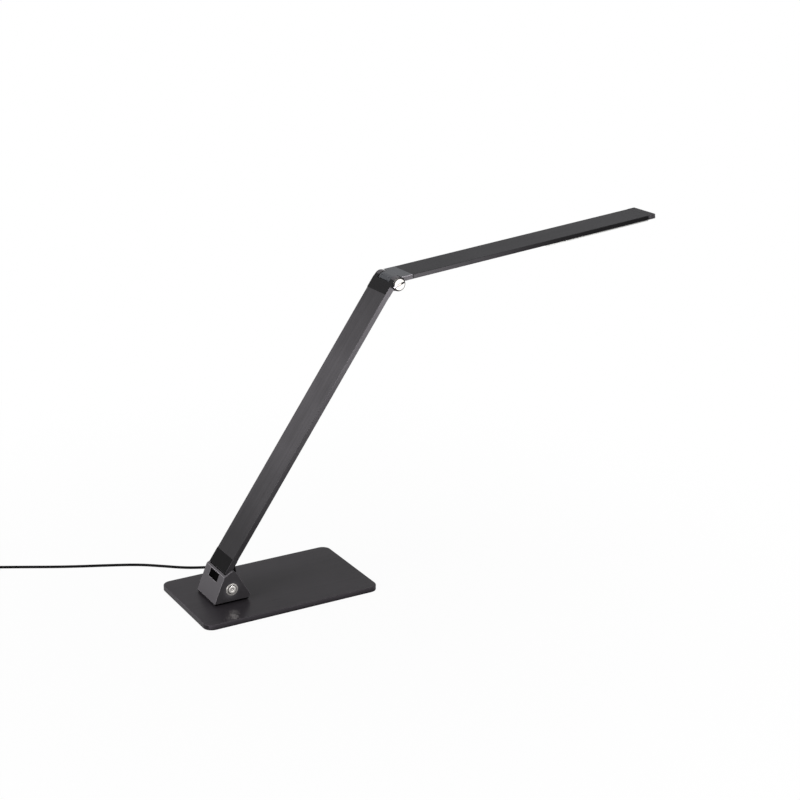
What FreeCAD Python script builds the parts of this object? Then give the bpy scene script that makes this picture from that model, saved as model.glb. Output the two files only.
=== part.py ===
"""LED task lamp: heavy flat base, swivelling hinge pedestal, flat arm and slim light head.

The frame has +Z up and +X from the pedestal towards the light head, with the origin on the
table under the middle of the base. All sizes are millimetres. The rest pose is the lamp set
up for work: arm raised, head nearly level.
"""
import FreeCAD
import Part
import math
import os
import re

import Sketcher
from FreeCAD import Placement, Rotation, Vector

SIZES = {
    # Base: a pressed shell over a steel weight, closed underneath by a rubber mat.
    "base_length": 200.0,
    "base_width": 123.0,
    "base_height": 5.7,
    "base_corner": 10.0,
    "base_edge": 1.0,
    "base_wall": 2.2,
    "base_ceiling": 1.9,
    "mat_thickness": 1.2,
    "mat_drop": 0.6,
    "weight_gap": 0.4,
    "base_screw_inset": 14.0,
    "base_screw_radius": 1.5,
    "base_screw_head": 2.8,
    "base_screw_head_height": 1.4,
    "base_screw_bite": 1.2,
    # Swivel: a hollow stem through the base carries the pedestal round.
    "swivel_inset": 46.0,
    "stem_radius": 7.0,
    "stem_bore": 4.0,
    "stem_length": 5.2,
    "plinth_radius": 17.0,
    "slip_thickness": 0.5,
    "swivel_nut_radius": 12.0,
    "swivel_nut_height": 2.5,
    "well_gap": 2.0,
    "swivel_screw_circle": 11.0,
    "swivel_screw_radius": 1.25,
    "swivel_screw_head": 2.2,
    "swivel_screw_head_height": 0.9,
    "swivel_screw_length": 3.0,
    # Pedestal: a three-sided housing, open along its top and front for the arm.
    "pedestal_gap": 2.3,
    "pedestal_width": 45.0,
    "pedestal_cheek": 2.4,
    "pedestal_floor": 2.5,
    "rear_wall": 1.8,
    "rear_run": 20.1,
    "rim_run": 8.2,
    "rim_rise": 28.0,
    "ridge_run": 2.3,
    "ridge_rise": 33.8,
    "brow_run": 5.6,
    "brow_rise": 30.6,
    "toe_run": 20.8,
    "toe_rise": 3.1,
    "foot_run": 19.4,
    "front_wall": 2.2,
    "front_wall_rise": 15.0,
    "ridge_round": 1.5,
    "pivot_rise": 12.8,
    # Rocker switch in the rear wall.
    "window_band": 0.8,
    "window_width": 21.0,
    "window_height": 9.0,
    "switch_inset": 0.7,
    "switch_depth": 7.4,
    "switch_recess": 4.4,
    "switch_wall": 0.8,
    "rocker_end_gap": 0.5,
    "rocker_sink": 0.9,
    "rocker_dip": 1.5,
    "rocker_skirt": 2.9,
    "rocker_taper": 1.0,
    "rocker_pin_radius": 1.0,
    "rocker_pin_depth": 2.2,
    "rocker_pin_end": 0.55,
    "rocker_tilt": 5.0,
    # Hinge hardware.
    "hinge_bolt_radius": 3.0,
    "hinge_head_radius": 6.7,
    "hinge_crown_radius": 4.6,
    "hinge_head_height": 1.3,
    "hinge_head_rim": 0.6,
    "hinge_washer_radius": 8.0,
    "hinge_washer_thickness": 1.0,
    "hinge_nut_radius": 5.4,
    "hinge_nut_height": 3.6,
    "elbow_head_radius": 7.1,
    "elbow_crown_radius": 6.3,
    "elbow_head_height": 1.6,
    "elbow_head_rim": 0.9,
    "elbow_tail": 1.2,
    "elbow_washer_radius": 6.4,
    "elbow_washer_thickness": 0.7,
    "coin_slot_width": 1.5,
    "coin_slot_depth": 0.7,
    "coin_slot_turn": 35.0,
    # Arm: a flat tube between a dark knuckle and a dark fork.
    "arm_angle": 54.95,
    "arm_width": 39.5,
    "arm_thickness": 6.1,
    "arm_face_rise": 15.4,
    "arm_wall": 1.3,
    "arm_edge": 1.0,
    "knuckle_start": 11.3,
    "knuckle_length": 17.0,
    "tube_length": 317.5,
    "plug_length": 15.0,
    "ear_radius": 9.0,
    "ear_outer": 18.9,
    "ear_inner": 12.5,
    "ear_inset": 2.4,
    "ear_top": 24.0,
    "elbow_past": 16.8,
    "elbow_drop": 8.1,
    "fork_ear_radius": 7.5,
    "fork_inner": 12.3,
    "fork_shoulder": 4.0,
    "fork_throat": 9.0,
    "tongue_pocket": 8.6,
    "wire_radius": 0.9,
    "wire_slot_width": 8.0,
    "wire_slot_height": 2.2,
    "arm_screw_side": 11.0,
    "small_screw_radius": 1.1,
    "small_screw_head": 2.1,
    "small_screw_bite": 2.0,
    "cover_screw_head_height": 0.9,
    "cover_screw_length": 3.0,
    # Head: an open channel with a cover, a light board and a diffuser under it.
    "head_angle": 5.31,
    "head_thickness": 5.0,
    "head_face_rise": 7.1,
    "head_seam": 17.2,
    "head_wall": 1.3,
    "head_edge": 0.8,
    "lip_width": 2.9,
    "lip_height": 0.8,
    "cover_flange": 0.8,
    "tongue_half": 11.4,
    "tongue_web": 12.0,
    "ear_clearance": 8.0,
    "grease_slit_turn": 162.5,
    "grease_slit_width": 1.5,
    "grease_slit_depth": 1.3,
    "grease_slit_length": 16.4,
    "scribe_turn": 127.0,
    "scribe_width": 0.5,
    "scribe_depth": 0.4,
    "end_cap_length": 9.4,
    "end_cap_corner": 1.0,
    "end_plug_length": 7.0,
    "cover_length": 169.8,
    "light_length": 139.2,
    "diffuser_inset": 0.85,
    "diffuser_drop": 1.4,
    "diffuser_rib": 0.7,
    "board_width": 26.0,
    "board_thickness": 1.2,
    "board_margin": 3.0,
    "chip_length": 3.5,
    "chip_width": 2.8,
    "chip_height": 0.7,
    "chip_row_gap": 12.0,
    # Cord, its coil and its plug-in supply.
    "cord_diameter": 3.0,
    "cord_inset": 84.0,
    "grommet_radius": 1.9,
    "grommet_flange": 2.4,
    "grommet_flange_thickness": 1.2,
    "grommet_reach": 4.0,
    "grommet_tip": 1.7,
    "channel_width": 4.0,
    "wire_bend": 8.0,
    "coil_radius": 17.5,
    "coil_pitch": 3.5,
    "coil_layer": 3.5,
    "tail_length": 17.0,
    "tie_gap": 0.65,
    "tie_thickness": 0.5,
    "tie_width": 5.0,
    "supply_length": 56.0,
    "supply_width": 38.0,
    "supply_height": 26.0,
    "supply_round": 4.0,
    "boot_length": 9.0,
    "boot_radius": 3.2,
    "blade_length": 17.0,
    "blade_width": 6.3,
    "blade_thickness": 1.5,
    "blade_spacing": 12.7,
    # Clearances shared by all pieces.
    "fit_gap": 0.15,
    "run_gap": 0.05,
    "slide_gap": 0.1,
    "floor_gap": 0.05,
    "overrun": 2.0,
}

# Places that follow from the sizes above.
PLACES = {
    "swivel_back": "=base_length / 2 - swivel_inset",
    "cord_exit": "=cord_inset - base_length / 2",
    "cord_level": "=(mat_thickness + mat_drop + base_height - base_ceiling) / 2",
    "tube_start": "=knuckle_start + knuckle_length",
    "elbow_reach": "=tube_start + tube_length + elbow_past",
    "head_width": "=arm_width",
    "light_start": "=head_seam + cover_length",
    "head_reach": "=light_start + light_length + end_cap_length",
}
CELLS = {**SIZES, **PLACES}

doc = FreeCAD.newDocument("task_lamp")
sheet = doc.addObject("Spreadsheet::Sheet", "Size")
for row, (alias, value) in enumerate(CELLS.items(), 1):
    sheet.set(f"A{row}", alias)
    sheet.set(f"B{row}", str(value))
    sheet.setAlias(f"B{row}", alias)
doc.recompute()

X_AXIS = Vector(1, 0, 0)
Y_AXIS = Vector(0, 1, 0)
Z_AXIS = Vector(0, 0, 1)
nodes = {}


def size(alias):
    """Value of one cell of the sheet."""
    return float(sheet.get(alias))


def bound(text):
    """Expression in which every size name points at its cell."""
    return re.sub(r"[a-z]\w+", lambda word: "Size." + word[0] if word[0] in CELLS else word[0], text)


def keep(label, made):
    """Names an object and lists it as a node of the lamp."""
    made.Label = label
    nodes[label] = made
    return made


def new_body(label, placement=Placement()):
    made = keep(label, doc.addObject("PartDesign::Body", label))
    made.Placement = placement
    return made


def new_sketch(body, plane, lift="0"):
    """Empty sketch on one of the body's planes, lifted along that plane's normal."""
    made = body.newObject("Sketcher::SketchObject", body.Name + "_sketch")
    origin = next(part for part in body.Origin.OriginFeatures if part.Role == plane)
    made.AttachmentSupport = [(origin, "")]
    made.MapMode = "FlatFace"
    made.setExpression("AttachmentOffset.Base.z", bound(lift))
    return made


def tie(sketch, kind, index, point, text):
    """Ties one coordinate of a sketched point to an expression."""
    number = sketch.addConstraint(Sketcher.Constraint(kind, -1, 1, index, point, 0))
    sketch.setExpression(f"Constraints[{number}]", bound(text))


def outline(sketch, points):
    """Closed straight-sided outline through points given as pairs of expressions."""
    count = len(points)
    first = sketch.GeometryCount
    ring = [Vector(math.cos(math.tau * i / count), math.sin(math.tau * i / count), 0) for i in range(count)]
    for i in range(count):
        sketch.addGeometry(Part.LineSegment(ring[i], ring[(i + 1) % count]))
    for i in range(count):
        sketch.addConstraint(Sketcher.Constraint("Coincident", first + i, 2, first + (i + 1) % count, 1))
    for i, (across, up) in enumerate(points):
        tie(sketch, "DistanceX", first + i, 1, across)
        tie(sketch, "DistanceY", first + i, 1, up)
    return sketch


def rectangle(sketch, low_x, low_y, high_x, high_y):
    return outline(sketch, [(low_x, low_y), (high_x, low_y), (high_x, high_y), (low_x, high_y)])


def circle(sketch, across, up, radius):
    index = sketch.addGeometry(Part.Circle(Vector(), Z_AXIS, 1))
    tie(sketch, "DistanceX", index, 3, across)
    tie(sketch, "DistanceY", index, 3, up)
    number = sketch.addConstraint(Sketcher.Constraint("Radius", index, 1))
    sketch.setExpression(f"Constraints[{number}]", bound(radius))
    return sketch


def pad(sketch, length, symmetric=False, reverse=False):
    body = sketch.getParentGeoFeatureGroup()
    made = body.newObject("PartDesign::Pad", body.Name + "_pad")
    made.Profile = sketch
    made.setExpression("Length", bound(length))
    made.SideType = "Symmetric" if symmetric else "One side"
    made.Reversed = reverse
    doc.recompute()
    return made


def pocket(sketch, length, symmetric=False, reverse=False):
    """Cut whose effect on the volume is checked, because a cut that misses gives no error."""
    body = sketch.getParentGeoFeatureGroup()
    before = body.Shape.Volume
    made = body.newObject("PartDesign::Pocket", body.Name + "_pocket")
    made.Profile = sketch
    made.setExpression("Length", bound(length))
    made.SideType = "Symmetric" if symmetric else "One side"
    made.Reversed = reverse
    doc.recompute()
    if not body.Shape.Volume < before:
        raise RuntimeError(f"{body.Label}: {made.Name} cuts nothing")
    return made


def revolve(sketch):
    """Full turn about the sketch's upright axis."""
    body = sketch.getParentGeoFeatureGroup()
    made = body.newObject("PartDesign::Revolution", body.Name + "_revolution")
    made.Profile = sketch
    made.ReferenceAxis = (sketch, ["V_Axis"])
    doc.recompute()
    return made


def fillet(body, chosen, radius):
    """Rounds the edges of the body's last feature that the test chooses."""
    base = body.Tip
    names = [f"Edge{i}" for i, edge in enumerate(base.Shape.Edges, 1) if chosen(edge)]
    made = body.newObject("PartDesign::Fillet", body.Name + "_fillet")
    made.Base = (base, names)
    made.setExpression("Radius", bound(radius))
    doc.recompute()
    return made


def runs_along(edge, axis):
    """True for a straight edge parallel to an axis."""
    if not isinstance(edge.Curve, (Part.Line, Part.LineSegment)):
        return False
    return edge.tangentAt(edge.FirstParameter).cross(axis).Length < 1e-6


def mirrored_pair(label, body):
    """Node of two solids: a piece on the camera side and its mirror image on the far side."""
    body.Label = label + "_near"
    nodes.pop(label)
    far = doc.addObject("Part::Mirroring", label + "_far")
    far.Source = body
    far.Normal = Y_AXIS
    both = keep(label, doc.addObject("Part::Compound", label))
    both.Links = [body, far]
    doc.recompute()
    return both


def copies(label, body, places):
    """Node of equal solids: one modelled piece repeated at each place."""
    body.Label = label + "_one"
    nodes.pop(label)
    doc.recompute()
    shape = body.Shape.copy()
    shape.Placement = Placement()
    group = keep(label, doc.addObject("Part::Feature", label))
    group.Shape = Part.makeCompound([shape.transformGeometry(place.toMatrix()) for place in places])
    return group


# Levels and frames that several pieces share.
base_top = size("mat_drop") + size("base_height")
base_top_level = "(mat_drop + base_height)"
pedestal_level = "(mat_drop + base_height + pedestal_gap)"
swivel_frame = Placement(Vector(-size("swivel_back"), 0, 0), Rotation())
pedestal_bottom = base_top + size("pedestal_gap")
pedestal_frame = Placement(Vector(-size("swivel_back"), 0, pedestal_bottom), Rotation())
pivot = Vector(-size("swivel_back"), 0, pedestal_bottom + size("pivot_rise"))
arm_frame = Placement(pivot, Rotation(Y_AXIS, -size("arm_angle")))
elbow_in_arm = Vector(size("elbow_reach"), 0, size("arm_face_rise") - size("elbow_drop"))
elbow = arm_frame.multVec(elbow_in_arm)
elbow_frame = Placement(elbow, arm_frame.Rotation)
head_frame = Placement(elbow, Rotation(Y_AXIS, -size("head_angle")))


def base_outline(sketch, inset):
    """Plan rectangle of the base, drawn in from its edges."""
    half_length = f"(base_length / 2 - ({inset}))"
    half_width = f"(base_width / 2 - ({inset}))"
    return rectangle(sketch, f"-{half_length}", f"-{half_width}", half_length, half_width)


def screw_corners(sketch, radius):
    """One circle at each of the base's four screws."""
    for side_x in ("-", ""):
        for side_y in ("-", ""):
            across = f"{side_x}(base_length / 2 - base_screw_inset)"
            up = f"{side_y}(base_width / 2 - base_screw_inset)"
            circle(sketch, across, up, radius)
    return sketch


def make_base_shell():
    body = new_body("base_shell")
    pad(base_outline(new_sketch(body, "XY_Plane", "mat_drop"), "0"), "base_height")
    depth = "base_height - base_ceiling"
    pocket(base_outline(new_sketch(body, "XY_Plane", "mat_drop"), "base_wall"), depth, reverse=True)
    inner = size("base_length") / 2 - size("base_wall") + size("run_gap")
    inside = lambda edge: runs_along(edge, Z_AXIS) and abs(edge.CenterOfMass.x) < inner
    fillet(body, inside, "base_corner - base_wall")
    outside = lambda edge: runs_along(edge, Z_AXIS) and abs(edge.CenterOfMass.x) > inner
    fillet(body, outside, "base_corner")
    fillet(body, lambda edge: edge.BoundBox.ZMin > base_top - size("base_edge"), "base_edge")
    bore = circle(new_sketch(body, "XY_Plane", "mat_drop"), "-swivel_back", "0", "stem_radius + run_gap")
    pocket(bore, "base_height", reverse=True)
    notch = new_sketch(body, "XZ_Plane", "-base_width / 2")
    circle(notch, "cord_exit", "cord_level", "grommet_radius + run_gap")
    pocket(notch, "2 * base_wall", symmetric=True)
    taps = new_sketch(body, "XY_Plane", "mat_drop + base_height - base_ceiling")
    pocket(screw_corners(taps, "base_screw_radius + run_gap"), "base_screw_bite + run_gap", reverse=True)


def make_base_weight():
    body = new_body("base_weight")
    thickness = "(mat_drop + base_height - base_ceiling - mat_thickness)"
    pad(base_outline(new_sketch(body, "XY_Plane", "mat_thickness"), "base_wall + weight_gap"), thickness)
    fillet(body, lambda edge: runs_along(edge, Z_AXIS), "base_corner - base_wall - weight_gap")
    well = new_sketch(body, "XY_Plane", "mat_thickness")
    pocket(circle(well, "-swivel_back", "0", "swivel_nut_radius + well_gap"), thickness, reverse=True)
    channel = new_sketch(body, "XY_Plane", "mat_thickness")
    outline(channel, [
        ("-swivel_back", "-channel_width / 2"),
        ("cord_exit + channel_width / 2", "-channel_width / 2"),
        ("cord_exit + channel_width / 2", "base_width / 2"),
        ("cord_exit - channel_width / 2", "base_width / 2"),
        ("cord_exit - channel_width / 2", "channel_width / 2 + wire_bend"),
        ("cord_exit - channel_width / 2 - wire_bend", "channel_width / 2"),
        ("-swivel_back", "channel_width / 2"),
    ])
    pocket(channel, thickness, reverse=True)
    shanks = screw_corners(new_sketch(body, "XY_Plane", "mat_thickness"), "base_screw_radius + run_gap")
    pocket(shanks, thickness, reverse=True)
    heads = screw_corners(new_sketch(body, "XY_Plane", "mat_thickness"), "base_screw_head + run_gap")
    pocket(heads, "base_screw_head_height", reverse=True)


def make_base_mat():
    body = new_body("base_mat")
    pad(base_outline(new_sketch(body, "XY_Plane"), "base_wall + weight_gap"), "mat_thickness")
    fillet(body, lambda edge: runs_along(edge, Z_AXIS), "base_corner - base_wall - weight_gap")


def make_base_screws():
    body = new_body("base_screws")
    head = circle(new_sketch(body, "XY_Plane", "mat_thickness"), "0", "0", "base_screw_head")
    pad(head, "base_screw_head_height")
    shank = circle(new_sketch(body, "XY_Plane", "mat_thickness"), "0", "0", "base_screw_radius")
    pad(shank, "mat_drop + base_height - base_ceiling - mat_thickness + base_screw_bite")
    across = size("base_length") / 2 - size("base_screw_inset")
    up = size("base_width") / 2 - size("base_screw_inset")
    corners = [Vector(x, y, 0) for x in (-across, across) for y in (-up, up)]
    copies("base_screws", body, [Placement(corner, Rotation()) for corner in corners])


def swivel_screw_holes(sketch, radius):
    for turn in (90, 210, 330):
        circle(sketch, f"swivel_screw_circle * cos({turn})", f"swivel_screw_circle * sin({turn})", radius)
    return sketch


def make_swivel():
    slip = new_body("slip_washer", swivel_frame)
    ring = circle(new_sketch(slip, "XY_Plane", base_top_level), "0", "0", "plinth_radius")
    pad(circle(ring, "0", "0", "stem_radius + fit_gap"), "slip_thickness")
    disc = new_body("swivel_plinth", swivel_frame)
    under = f"{base_top_level} + slip_thickness + floor_gap"
    pad(circle(new_sketch(disc, "XY_Plane", under), "0", "0", "plinth_radius"),
        "pedestal_gap - slip_thickness - floor_gap")
    pad(circle(new_sketch(disc, "XY_Plane", under), "0", "0", "stem_radius"), "stem_length", reverse=True)
    pocket(circle(new_sketch(disc, "XY_Plane", pedestal_level), "0", "0", "stem_bore"),
           "pedestal_gap + stem_length")
    pocket(swivel_screw_holes(new_sketch(disc, "XY_Plane", under), "swivel_screw_radius + run_gap"),
           "pedestal_gap", reverse=True)
    pocket(swivel_screw_holes(new_sketch(disc, "XY_Plane", under), "swivel_screw_head + run_gap"),
           "swivel_screw_head_height", reverse=True)
    nut = new_body("swivel_nut", swivel_frame)
    level = "mat_drop + base_height - base_ceiling - slide_gap - swivel_nut_height"
    ring = circle(new_sketch(nut, "XY_Plane", level), "0", "0", "swivel_nut_radius")
    pad(circle(ring, "0", "0", "stem_radius + run_gap"), "swivel_nut_height")
    screw = new_body("swivel_screws")
    head = circle(new_sketch(screw, "XY_Plane", under), "0", "0", "swivel_screw_head")
    pad(head, "swivel_screw_head_height")
    shank = circle(new_sketch(screw, "XY_Plane", under), "0", "0", "swivel_screw_radius")
    pad(shank, "swivel_screw_length")
    arm = Vector(size("swivel_screw_circle"), 0, 0)
    spots = [Rotation(Z_AXIS, turn).multVec(arm) for turn in (90, 210, 330)]
    copies("swivel_screws", screw, [Placement(swivel_frame.Base + spot, Rotation()) for spot in spots])


rear_lean = "((rear_run - rim_run) / rim_rise)"
front_lean = "((toe_run - brow_run) / (brow_rise - toe_rise))"
rear_slope = math.degrees(math.atan2(size("rim_rise"), size("rear_run") - size("rim_run")))


def make_pedestal():
    body = new_body("pedestal_housing", pedestal_frame)
    profile = outline(new_sketch(body, "XZ_Plane"), [
        ("-rear_run", "0"),
        ("-rim_run", "rim_rise"),
        ("ridge_run", "ridge_rise"),
        ("brow_run", "brow_rise"),
        ("toe_run", "toe_rise"),
        ("foot_run", "0"),
    ])
    pad(profile, "pedestal_width", symmetric=True)
    crest = lambda edge: runs_along(edge, Y_AXIS) and edge.BoundBox.ZMin > size("brow_rise") - size("run_gap")
    fillet(body, crest, "ridge_round")
    cavity = outline(new_sketch(body, "XZ_Plane"), [
        (f"rear_wall - rear_run + pedestal_floor * {rear_lean}", "pedestal_floor"),
        (f"rear_wall - rear_run + (ridge_rise + overrun) * {rear_lean}", "ridge_rise + overrun"),
        ("toe_run + overrun", "ridge_rise + overrun"),
        ("toe_run + overrun", "front_wall_rise"),
        (f"toe_run - front_wall - (front_wall_rise - toe_rise) * {front_lean}", "front_wall_rise"),
        ("foot_run - front_wall", "pedestal_floor"),
    ])
    pocket(cavity, "pedestal_width - 2 * pedestal_cheek", symmetric=True)
    window = new_sketch(body, "XZ_Plane")
    rim = Vector(-size("rim_run"), size("rim_rise"), 0)
    window.AttachmentOffset = Placement(rim, Rotation(Z_AXIS, 180 + rear_slope))
    rectangle(window, "window_band", "-overrun", "window_band + window_height", "rear_wall + overrun")
    pocket(window, "window_width", symmetric=True)
    pivots = circle(new_sketch(body, "XZ_Plane"), "0", "pivot_rise", "hinge_bolt_radius + run_gap")
    pocket(pivots, "pedestal_width", symmetric=True)
    wire_hole = circle(new_sketch(body, "XY_Plane"), "0", "0", "stem_bore")
    pocket(wire_hole, "pedestal_floor", reverse=True)
    taps = swivel_screw_holes(new_sketch(body, "XY_Plane"), "swivel_screw_radius + run_gap")
    pocket(taps, "pedestal_floor", reverse=True)


def switch_place():
    """Frame of the switch: outward from the rear wall along Z, up the slope along Y."""
    slope = math.radians(rear_slope)
    up_slope = Vector(math.cos(slope), 0, math.sin(slope))
    outward = Vector(-math.sin(slope), 0, math.cos(slope))
    rim = pedestal_frame.Base + Vector(-size("rim_run"), 0, size("rim_rise"))
    middle = rim - up_slope * (size("window_band") + size("window_height") / 2)
    return Placement(middle, Rotation(Vector(0, -1, 0), up_slope, outward, "ZYX"))


def make_switch():
    place = switch_place()
    frame = new_body("switch_frame", place)
    half_width = "(window_width / 2 - fit_gap)"
    half_height = "(window_height / 2 - fit_gap)"
    block = new_sketch(frame, "XY_Plane", "-switch_inset")
    rectangle(block, f"-{half_width}", f"-{half_height}", half_width, half_height)
    pad(block, "switch_depth - switch_inset", reverse=True)
    recess = new_sketch(frame, "XY_Plane", "-switch_inset")
    rectangle(recess, f"switch_wall - {half_width}", f"switch_wall - {half_height}",
              f"{half_width} - switch_wall", f"{half_height} - switch_wall")
    pocket(recess, "switch_recess - switch_inset")
    bearing = circle(new_sketch(frame, "XZ_Plane"), "0", "-rocker_pin_depth", "rocker_pin_radius + run_gap")
    pocket(bearing, "window_height", symmetric=True)
    pin_level = Vector(0, 0, -size("rocker_pin_depth"))
    turned = Placement(pin_level, Rotation(Y_AXIS, size("rocker_tilt")))
    tilt = turned.multiply(Placement(-pin_level, Rotation()))
    rocker = new_body("switch_rocker", place.multiply(tilt))
    half_rocker = "(window_width / 2 - fit_gap - switch_wall - rocker_end_gap)"
    profile = outline(new_sketch(rocker, "XZ_Plane"), [
        (f"-{half_rocker}", "-rocker_sink"),
        ("0", "-rocker_dip"),
        (half_rocker, "-rocker_sink"),
        (f"{half_rocker} - rocker_taper", "-rocker_skirt"),
        (f"rocker_taper - {half_rocker}", "-rocker_skirt"),
    ])
    tall = "(window_height - 2 * fit_gap - 2 * switch_wall - 2 * fit_gap)"
    pad(profile, tall, symmetric=True)
    pin = circle(new_sketch(rocker, "XZ_Plane"), "0", "-rocker_pin_depth", "rocker_pin_radius")
    pad(pin, f"{tall} + 2 * fit_gap + 2 * rocker_pin_end", symmetric=True)


def make_lower_hinge():
    here = Placement(pivot, Rotation())
    bolt = new_body("hinge_bolts", here)
    face = "pedestal_width / 2"
    profile = outline(new_sketch(bolt, "XY_Plane"), [
        ("0", f"-{face} - hinge_head_height"),
        ("hinge_crown_radius", f"-{face} - hinge_head_height"),
        ("hinge_head_radius", f"-{face} - hinge_head_rim"),
        ("hinge_head_radius", f"-{face}"),
        ("hinge_bolt_radius", f"-{face}"),
        ("hinge_bolt_radius", "hinge_nut_height + slide_gap - ear_inner"),
        ("0", "hinge_nut_height + slide_gap - ear_inner"),
    ])
    revolve(profile)
    mirrored_pair("hinge_bolts", bolt)
    washer = new_body("hinge_washers", here)
    ring = circle(new_sketch(washer, "XZ_Plane", "ear_outer + slide_gap"), "0", "0", "hinge_washer_radius")
    pad(circle(ring, "0", "0", "hinge_bolt_radius + run_gap"), "hinge_washer_thickness")
    mirrored_pair("hinge_washers", washer)
    nut = new_body("hinge_nuts", here)
    hexagon = new_sketch(nut, "XZ_Plane", "ear_inner - slide_gap - hinge_nut_height")
    corners = [(f"cos({turn})", f"sin({turn})") for turn in range(0, 360, 60)]
    outline(hexagon, [(f"hinge_nut_radius * {across}", f"hinge_nut_radius * {up}") for across, up in corners])
    pad(circle(hexagon, "0", "0", "hinge_bolt_radius + run_gap"), "hinge_nut_height")
    mirrored_pair("hinge_nuts", nut)


arm_low = "(arm_face_rise - arm_thickness)"
arm_middle = "(arm_face_rise - arm_thickness / 2)"
tube_end = "(tube_start + tube_length)"
plug_half = "(arm_width / 2 - arm_wall - fit_gap)"


def arm_plug(body, start):
    """Block that fills the end of the arm tube."""
    section = new_sketch(body, "YZ_Plane", start)
    rectangle(section, f"-{plug_half}", f"{arm_low} + arm_wall + fit_gap",
              plug_half, "arm_face_rise - arm_wall - fit_gap")
    pad(section, "plug_length")


def arm_wire_slot(body, start, length):
    """Slot through which the wire passes along the arm."""
    slot = new_sketch(body, "YZ_Plane", start)
    rectangle(slot, "-wire_slot_width / 2", f"{arm_middle} - wire_slot_height / 2",
              "wire_slot_width / 2", f"{arm_middle} + wire_slot_height / 2")
    pocket(slot, length, reverse=True)


def arm_screw_taps(body, along):
    """Blind holes in a plug for the screws that come up through the tube's lower wall."""
    holes = new_sketch(body, "XY_Plane", f"{arm_low} + arm_wall")
    for side in ("-", ""):
        circle(holes, along, f"{side}arm_screw_side", "small_screw_radius + run_gap")
    pocket(holes, "fit_gap + small_screw_bite", reverse=True)


def make_lower_knuckle():
    body = new_body("lower_knuckle", arm_frame)
    cap = new_sketch(body, "XZ_Plane")
    pad(rectangle(cap, "knuckle_start", arm_low, "tube_start", "arm_face_rise"), "arm_width", symmetric=True)
    web = outline(new_sketch(body, "XZ_Plane"), [
        ("0", "0"),
        ("0", "ear_radius"),
        ("knuckle_start", "ear_radius"),
        ("knuckle_start", "arm_face_rise - ear_inset"),
        ("ear_top", "arm_face_rise - ear_inset"),
        ("ear_top", arm_low),
        ("ear_radius * cos(45)", "-ear_radius * sin(45)"),
    ])
    pad(web, "2 * ear_outer", symmetric=True)
    pad(circle(new_sketch(body, "XZ_Plane"), "0", "0", "ear_radius"), "2 * ear_outer", symmetric=True)
    between = outline(new_sketch(body, "XZ_Plane"), [
        ("-ear_radius - overrun", "-ear_radius - overrun"),
        ("ear_top + overrun", "-ear_radius - overrun"),
        ("ear_top + overrun", arm_low),
        ("knuckle_start", arm_low),
        ("knuckle_start", "arm_face_rise"),
        ("-ear_radius - overrun", "arm_face_rise"),
    ])
    pocket(between, "2 * ear_inner", symmetric=True)
    bore = circle(new_sketch(body, "XZ_Plane"), "0", "0", "hinge_bolt_radius + run_gap")
    pocket(bore, "2 * ear_outer", symmetric=True)
    arm_plug(body, "tube_start")
    arm_wire_slot(body, "knuckle_start", "tube_start - knuckle_start + plug_length")
    arm_screw_taps(body, "tube_start + plug_length / 2")


def make_arm_tube():
    body = new_body("arm_tube", arm_frame)
    section = new_sketch(body, "YZ_Plane", "tube_start")
    rectangle(section, "-arm_width / 2", arm_low, "arm_width / 2", "arm_face_rise")
    pad(section, "tube_length")
    fillet(body, lambda edge: runs_along(edge, X_AXIS), "arm_edge")
    hollow = new_sketch(body, "YZ_Plane", "tube_start")
    rectangle(hollow, "arm_wall - arm_width / 2", f"{arm_low} + arm_wall",
              "arm_width / 2 - arm_wall", "arm_face_rise - arm_wall")
    pocket(hollow, "tube_length", reverse=True)
    holes = new_sketch(body, "XY_Plane", arm_low)
    for along in ("tube_start + plug_length / 2", f"{tube_end} - plug_length / 2"):
        for side in ("-", ""):
            circle(holes, along, f"{side}arm_screw_side", "small_screw_head + run_gap")
    pocket(holes, "arm_wall", reverse=True)


def make_upper_fork():
    body = new_body("upper_fork", arm_frame)
    elbow_level = "(arm_face_rise - elbow_drop)"
    profile = outline(new_sketch(body, "XZ_Plane"), [
        (tube_end, "arm_face_rise"),
        ("elbow_reach - fork_shoulder", "arm_face_rise"),
        ("elbow_reach", f"{elbow_level} + fork_ear_radius"),
        ("elbow_reach", elbow_level),
        ("elbow_reach - fork_ear_radius * cos(45)", f"{elbow_level} - fork_ear_radius * sin(45)"),
        ("elbow_reach - fork_throat", arm_low),
        (tube_end, arm_low),
    ])
    pad(profile, "arm_width", symmetric=True)
    ears = circle(new_sketch(body, "XZ_Plane"), "elbow_reach", elbow_level, "fork_ear_radius")
    pad(ears, "arm_width", symmetric=True)
    between = circle(new_sketch(body, "XZ_Plane"), "elbow_reach", elbow_level, "tongue_pocket")
    pocket(between, "2 * fork_inner", symmetric=True)
    bore = circle(new_sketch(body, "XZ_Plane"), "elbow_reach", elbow_level, "hinge_bolt_radius + run_gap")
    pocket(bore, "arm_width", symmetric=True)
    arm_plug(body, f"{tube_end} - plug_length")
    arm_wire_slot(body, f"{tube_end} - plug_length", f"plug_length + elbow_reach - {tube_end}")
    arm_screw_taps(body, f"{tube_end} - plug_length / 2")


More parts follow.
